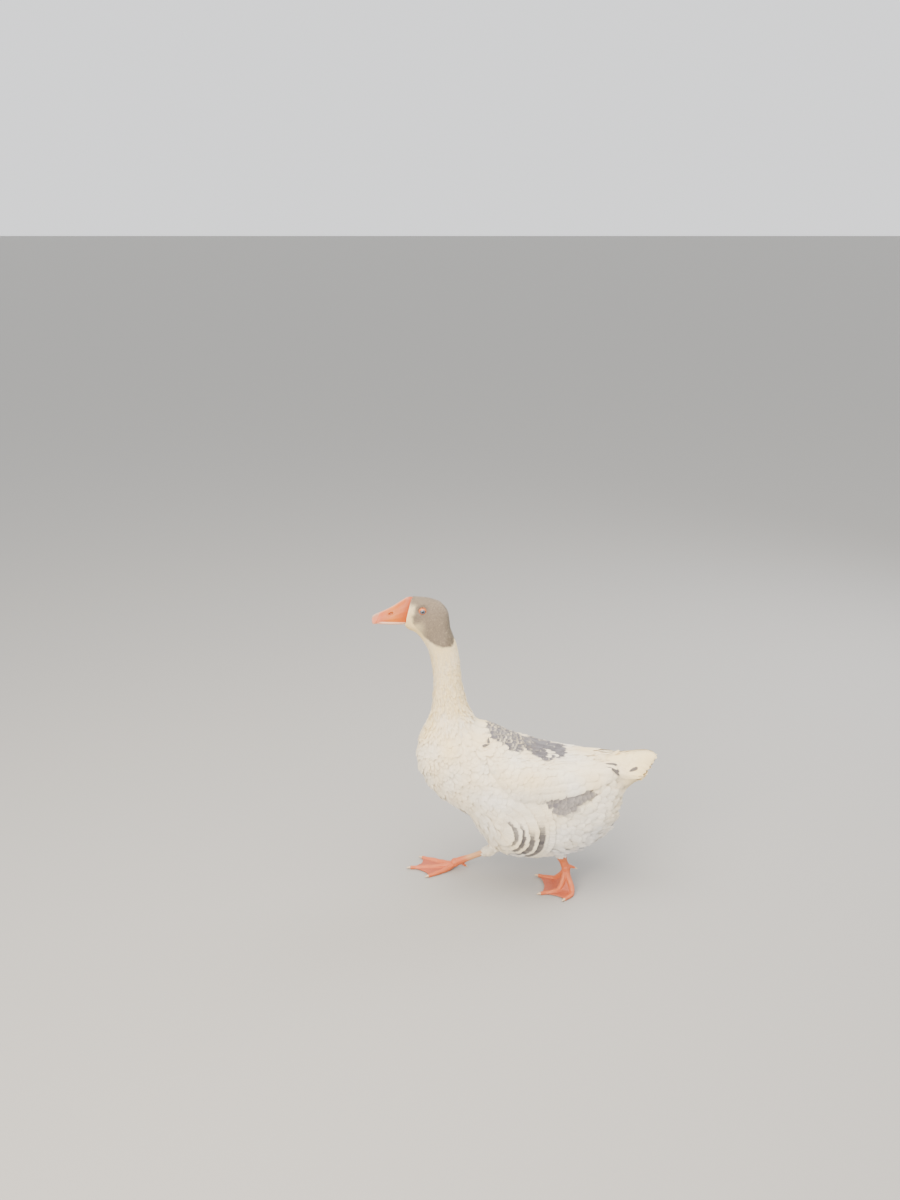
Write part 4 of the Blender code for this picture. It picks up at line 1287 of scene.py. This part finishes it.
def eye_material():
    """Wet eye: blue-grey iris with spokes 0.7 mm wide round a black pupil, under a clear coat."""
    stops = ((0.0, "#07080A"), (0.36, "#07080A"), (0.40, "#33414F"), (0.52, "#5F7386"), (0.66, "#465868"),
             (0.74, "#1C232B"), (1.0, "#15181C"))
    return make_material("wet_eye", (
        ("flat", "VectorMath", {0: "where", 1: (0.0, 1.0, 1.0)}, TIMES),
        ("radius", "VectorMath", {0: "flat", 1: (0.0, EYE_CENTRE[1], EYE_CENTRE[2])}, DISTANCE),
        ("spokes", "TexNoise", {"Vector": "where", "Scale": 1 / (0.667 * MM), "Detail": 2.0}),
        ("spread", "Math", {0: "spokes", 1: 0.7 * MM, 2: "radius"}, MULTIPLY_ADD),
        ("share", "MapRange", {0: "spread", 1: 0.0, 2: EYE_RADIUS}),
        ("colour", "ValToRGB", {0: "share"}, {"stops": stops}),
    ), Roughness=0.08, Coat_Weight=1.0, Coat_Roughness=0.02)


# Lid rings from the opening outwards: half width and half height in eye radii, height over the ball in mm.
LID_RINGS = ((0.73, 0.66, 0.10), (0.75, 0.68, 0.42), (0.79, 0.72, 0.58), (0.85, 0.79, 0.48),
             (0.93, 0.88, 0.15), (1.12, 1.07, None))


def make_eyeball(name, side, centre, material):
    """A ball with a fuller cornea over the iris."""
    bm = bmesh.new()
    bmesh.ops.create_uvsphere(bm, u_segments=48, v_segments=32, radius=EYE_RADIUS)
    bmesh.ops.rotate(bm, matrix=Matrix.Rotation(side * math.pi / 2, 3, "Y"), verts=bm.verts[:])
    for vertex in bm.verts:
        off_axis = math.hypot(vertex.co.y, vertex.co.z) / (0.75 * EYE_RADIUS)
        if vertex.co.x * side > 0 and off_axis < 1:
            vertex.co.x += side * 0.5 * MM * (1 - off_axis ** 2)
        vertex.co += Vector(centre)
    bmesh.ops.recalc_face_normals(bm, faces=bm.faces[:])
    mesh = bpy.data.meshes.new(name + "_ball")
    bm.to_mesh(mesh)
    bm.free()
    mesh.materials.append(material)
    mesh.shade_smooth()
    eye = add_object(name + "_ball", mesh)
    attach(eye, "root")
    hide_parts(name)


def make_lids(surface, name, side, centre, material, around=56):
    """Thick-edged lids that close round the ball and run in under the feathers."""
    points, faces = [], []
    for i, (open_y, open_z, over) in enumerate(LID_RINGS):
        for k in range(around):
            a = 2 * math.pi * k / around
            y = EYE_RADIUS * open_y * (1 + 0.10 * math.cos(a) ** 6) * math.cos(a)
            z = EYE_RADIUS * open_z * math.sin(a) * (0.86 if math.sin(a) > 0 and i < 3 else 1.02)
            if over is None:
                x = abs(surface.on_side(centre[1] + y, centre[2] + z, side)[0]) - abs(centre[0]) - 2.2 * MM
            else:
                wrinkle = 0.12 * math.sin(17 * a + 2.2 * i) * math.sin(9 * a)
                reach = EYE_RADIUS + (over + wrinkle) * MM
                x = math.sqrt(max(reach ** 2 - y ** 2 - z ** 2, (0.2 * reach) ** 2))
            points.append(centre + np.array([side * x, y, z]))
            if i:
                here, before = i * around, (i - 1) * around
                j = (k + 1) % around
                faces.append((before + k, before + j, here + j, here + k))
    mesh = new_mesh(name + "_lids", points, faces, material)
    bm = bmesh.new()
    bm.from_mesh(mesh)
    bmesh.ops.recalc_face_normals(bm, faces=bm.faces[:])
    if sum(face.normal.x * side for face in bm.faces) < 0:
        bmesh.ops.reverse_faces(bm, faces=bm.faces[:])
    bm.to_mesh(mesh)
    bm.free()
    mesh.shade_smooth()
    lids = add_object(name + "_lids", mesh)
    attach(lids, "root")


def make_eyes(surface, lid_skin):
    """Both eyes, each a ball and its lids."""
    wet = eye_material()
    for name, side in (("eye_left", 1), ("eye_right", -1)):
        centre = EYE_CENTRE * np.array([side, 1, 1])
        make_eyeball(name, side, centre, wet)
        make_lids(surface, name, side, centre, lid_skin)


# ---------------------------------------------------------------- assembly
def away_from_eyes(points, lie, size):
    """Feathers part round the eyes and grow small there."""
    lie, size = lie.copy(), size.copy()
    clear = np.ones(len(points))
    for side in (-1, 1):
        offset = points - EYE_CENTRE * np.array([side, 1, 1])
        offset[:, 0] *= 0.4
        gap = np.linalg.norm(offset, axis=1)
        lie += unit(offset) * (1.3 * (1 - step(gap, 7.5 * MM, 15 * MM)))[:, None]
        size[:, :2] *= (0.62 + 0.38 * step(gap, 8 * MM, 16 * MM))[:, None]
        clear *= step(gap, 6.0 * MM, 6.1 * MM)
    return unit(lie), size, clear


def lobes(surface):
    """Soft swellings of loose plumage on the breast's sides, the flanks and the belly."""
    wave = wavering(surface.points * np.array([1.0, 0.8, 1.3]), 26, 5)
    room = surface.share("trunk", "thigh_left", "thigh_right") * (1 - step(surface.points[:, 2], 0.30, 0.36))
    return wave * room


def build_base(surface):
    """The skin with everything that the coat's trees read on it: lie, size, spacing and markings."""
    points = surface.points
    y, z = points.T[1:]
    depth, length, width, spacing = coat_sizes(surface).T
    wave, furrow_room = furrow_wave(surface)
    loose = surface.share("trunk", "thigh_left", "thigh_right")
    depth = depth * (0.12 + 0.88 * step(bill_border(points), 0.5 * MM, 9 * MM))
    body = inset_skin(surface, depth + 1.5 * MM * furrow_room * (1 - wave) / 2
                      + 2.2 * MM * (0.5 - 0.5 * lobes(surface)) * loose)
    outward = unit(averaged(normals_of(body), surface.edges, 2, 0.4))
    size = np.stack([width, length, depth * (1 + furrow_room * (0.35 * wave - 0.05))], 1)
    vent = step(y, 0.15, 0.21) * (1 - step(z, 0.22, 0.27))
    size *= np.stack([1 - 0.15 * vent, 1 + 0.35 * vent, 1 + 0.25 * vent], 1)
    lie, size, clear = away_from_eyes(points, surface.lie, size)
    lie += 0.22 * (furrow_room * wave)[:, None] * np.cross(outward, lie)
    on_wing = step(surface.share("wing_left", "wing_right"), 0.4, 0.6)
    mark, stain = markings(points + lie * (0.7 * size[:, 1])[:, None], on_wing)
    # In the neck's grooves the cream is weaker, and a light grey is painted in as shade.
    stain = np.clip(stain - 0.25 * furrow_room * (1 - wave) / 2, 0, 1)
    mark[:, 0] = np.maximum(mark[:, 0], 0.16 * furrow_room * step(-wave, 0.2, 0.9) * step(-y, 0.13, 0.15))
    tint = np.stack([stain, np.full(len(y), 0.25), np.zeros(len(y))], 1)
    for label, values in (("lie", lie), ("outward", outward), ("size", size), ("spacing", spacing),
                          ("mark", mark), ("tint", tint), ("around", surface.around)):
        store(body, label, values)
    return add_object("base", body), clear


def spread_coats(surface, base, clear, plumage):
    """The small feathers, in pieces by place."""
    y = surface.points[:, 1]
    on_head = surface.share("head") > 0.5
    head = on_head * clear * (bill_border(surface.points) > 0.8 * MM)
    neck = surface.share("neck") >= 0.5
    wings = surface.share("wing_left", "wing_right") > 0.5
    tail = surface.share("tail") > 0.5
    body = ~(neck | wings | tail | on_head)
    plain = ripple_room(surface.points) < 0.5
    front, rear = y < -0.045, y > 0.10
    under_tail = tail & (y < 0.265) & (surface.normals[:, 2] < 0.1)
    pieces = (    # name, where, kind, spacing, disorder, slot
        ("feathers_head", head, "velvet", 0.80 * MM, 1.0, "grey_plumage"),
        ("feathers_neck", neck, "hackle", 1.45 * MM, 1.3, "white_plumage"),
        ("feathers_breast", body & front & plain, "contour", 3.6 * MM, 1.0, "white_plumage"),
        ("feathers_belly", body & ~front & ~rear & plain, "contour", 4.2 * MM, 1.1, "white_plumage"),
        ("feathers_vent", body & rear, "plume", 4.4 * MM, 2.0, "white_plumage"),
        ("feathers_wings_small", wings & (y < 0.10), "contour", 4.4 * MM, 0.8, "white_plumage"),
        ("feathers_tail_small", under_tail, "plume", 5.0 * MM, 0.8, "white_plumage"),
    )
    for i, (name, room, kind, gap, disorder, slot) in enumerate(pieces):
        spread_coat(name, base, np.asarray(room, float), kind, gap, disorder, 100 + i, plumage)
    for collection in [found for found in bpy.data.collections if found.name.startswith("patterns_")]:
        for ob in list(collection.objects):
            bpy.data.objects.remove(ob)
        bpy.data.collections.remove(collection)


def main():
    set_stage()
    surface = Surface()
    base, clear = build_base(surface)
    plumage = plumage_material()
    spread_coats(surface, base, clear, plumage)
    lay_wing(surface, 1, plumage)
    lay_wing(surface, -1, plumage)
    lay_saddle(surface, plumage)
    lay_tail(surface, plumage)
    lay_flanks(surface, plumage)
    lay_cuffs(surface, plumage)
    make_skin(base.data, surface, plumage, leg_material())
    bpy.data.objects.remove(base)
    bpy.data.objects.remove(surface.outer)
    make_claws()
    make_bill(bill_material())
    make_eyes(surface, patchy_material("eyelid_skin", "#C87848", "#BC6638", 0.45))


main()
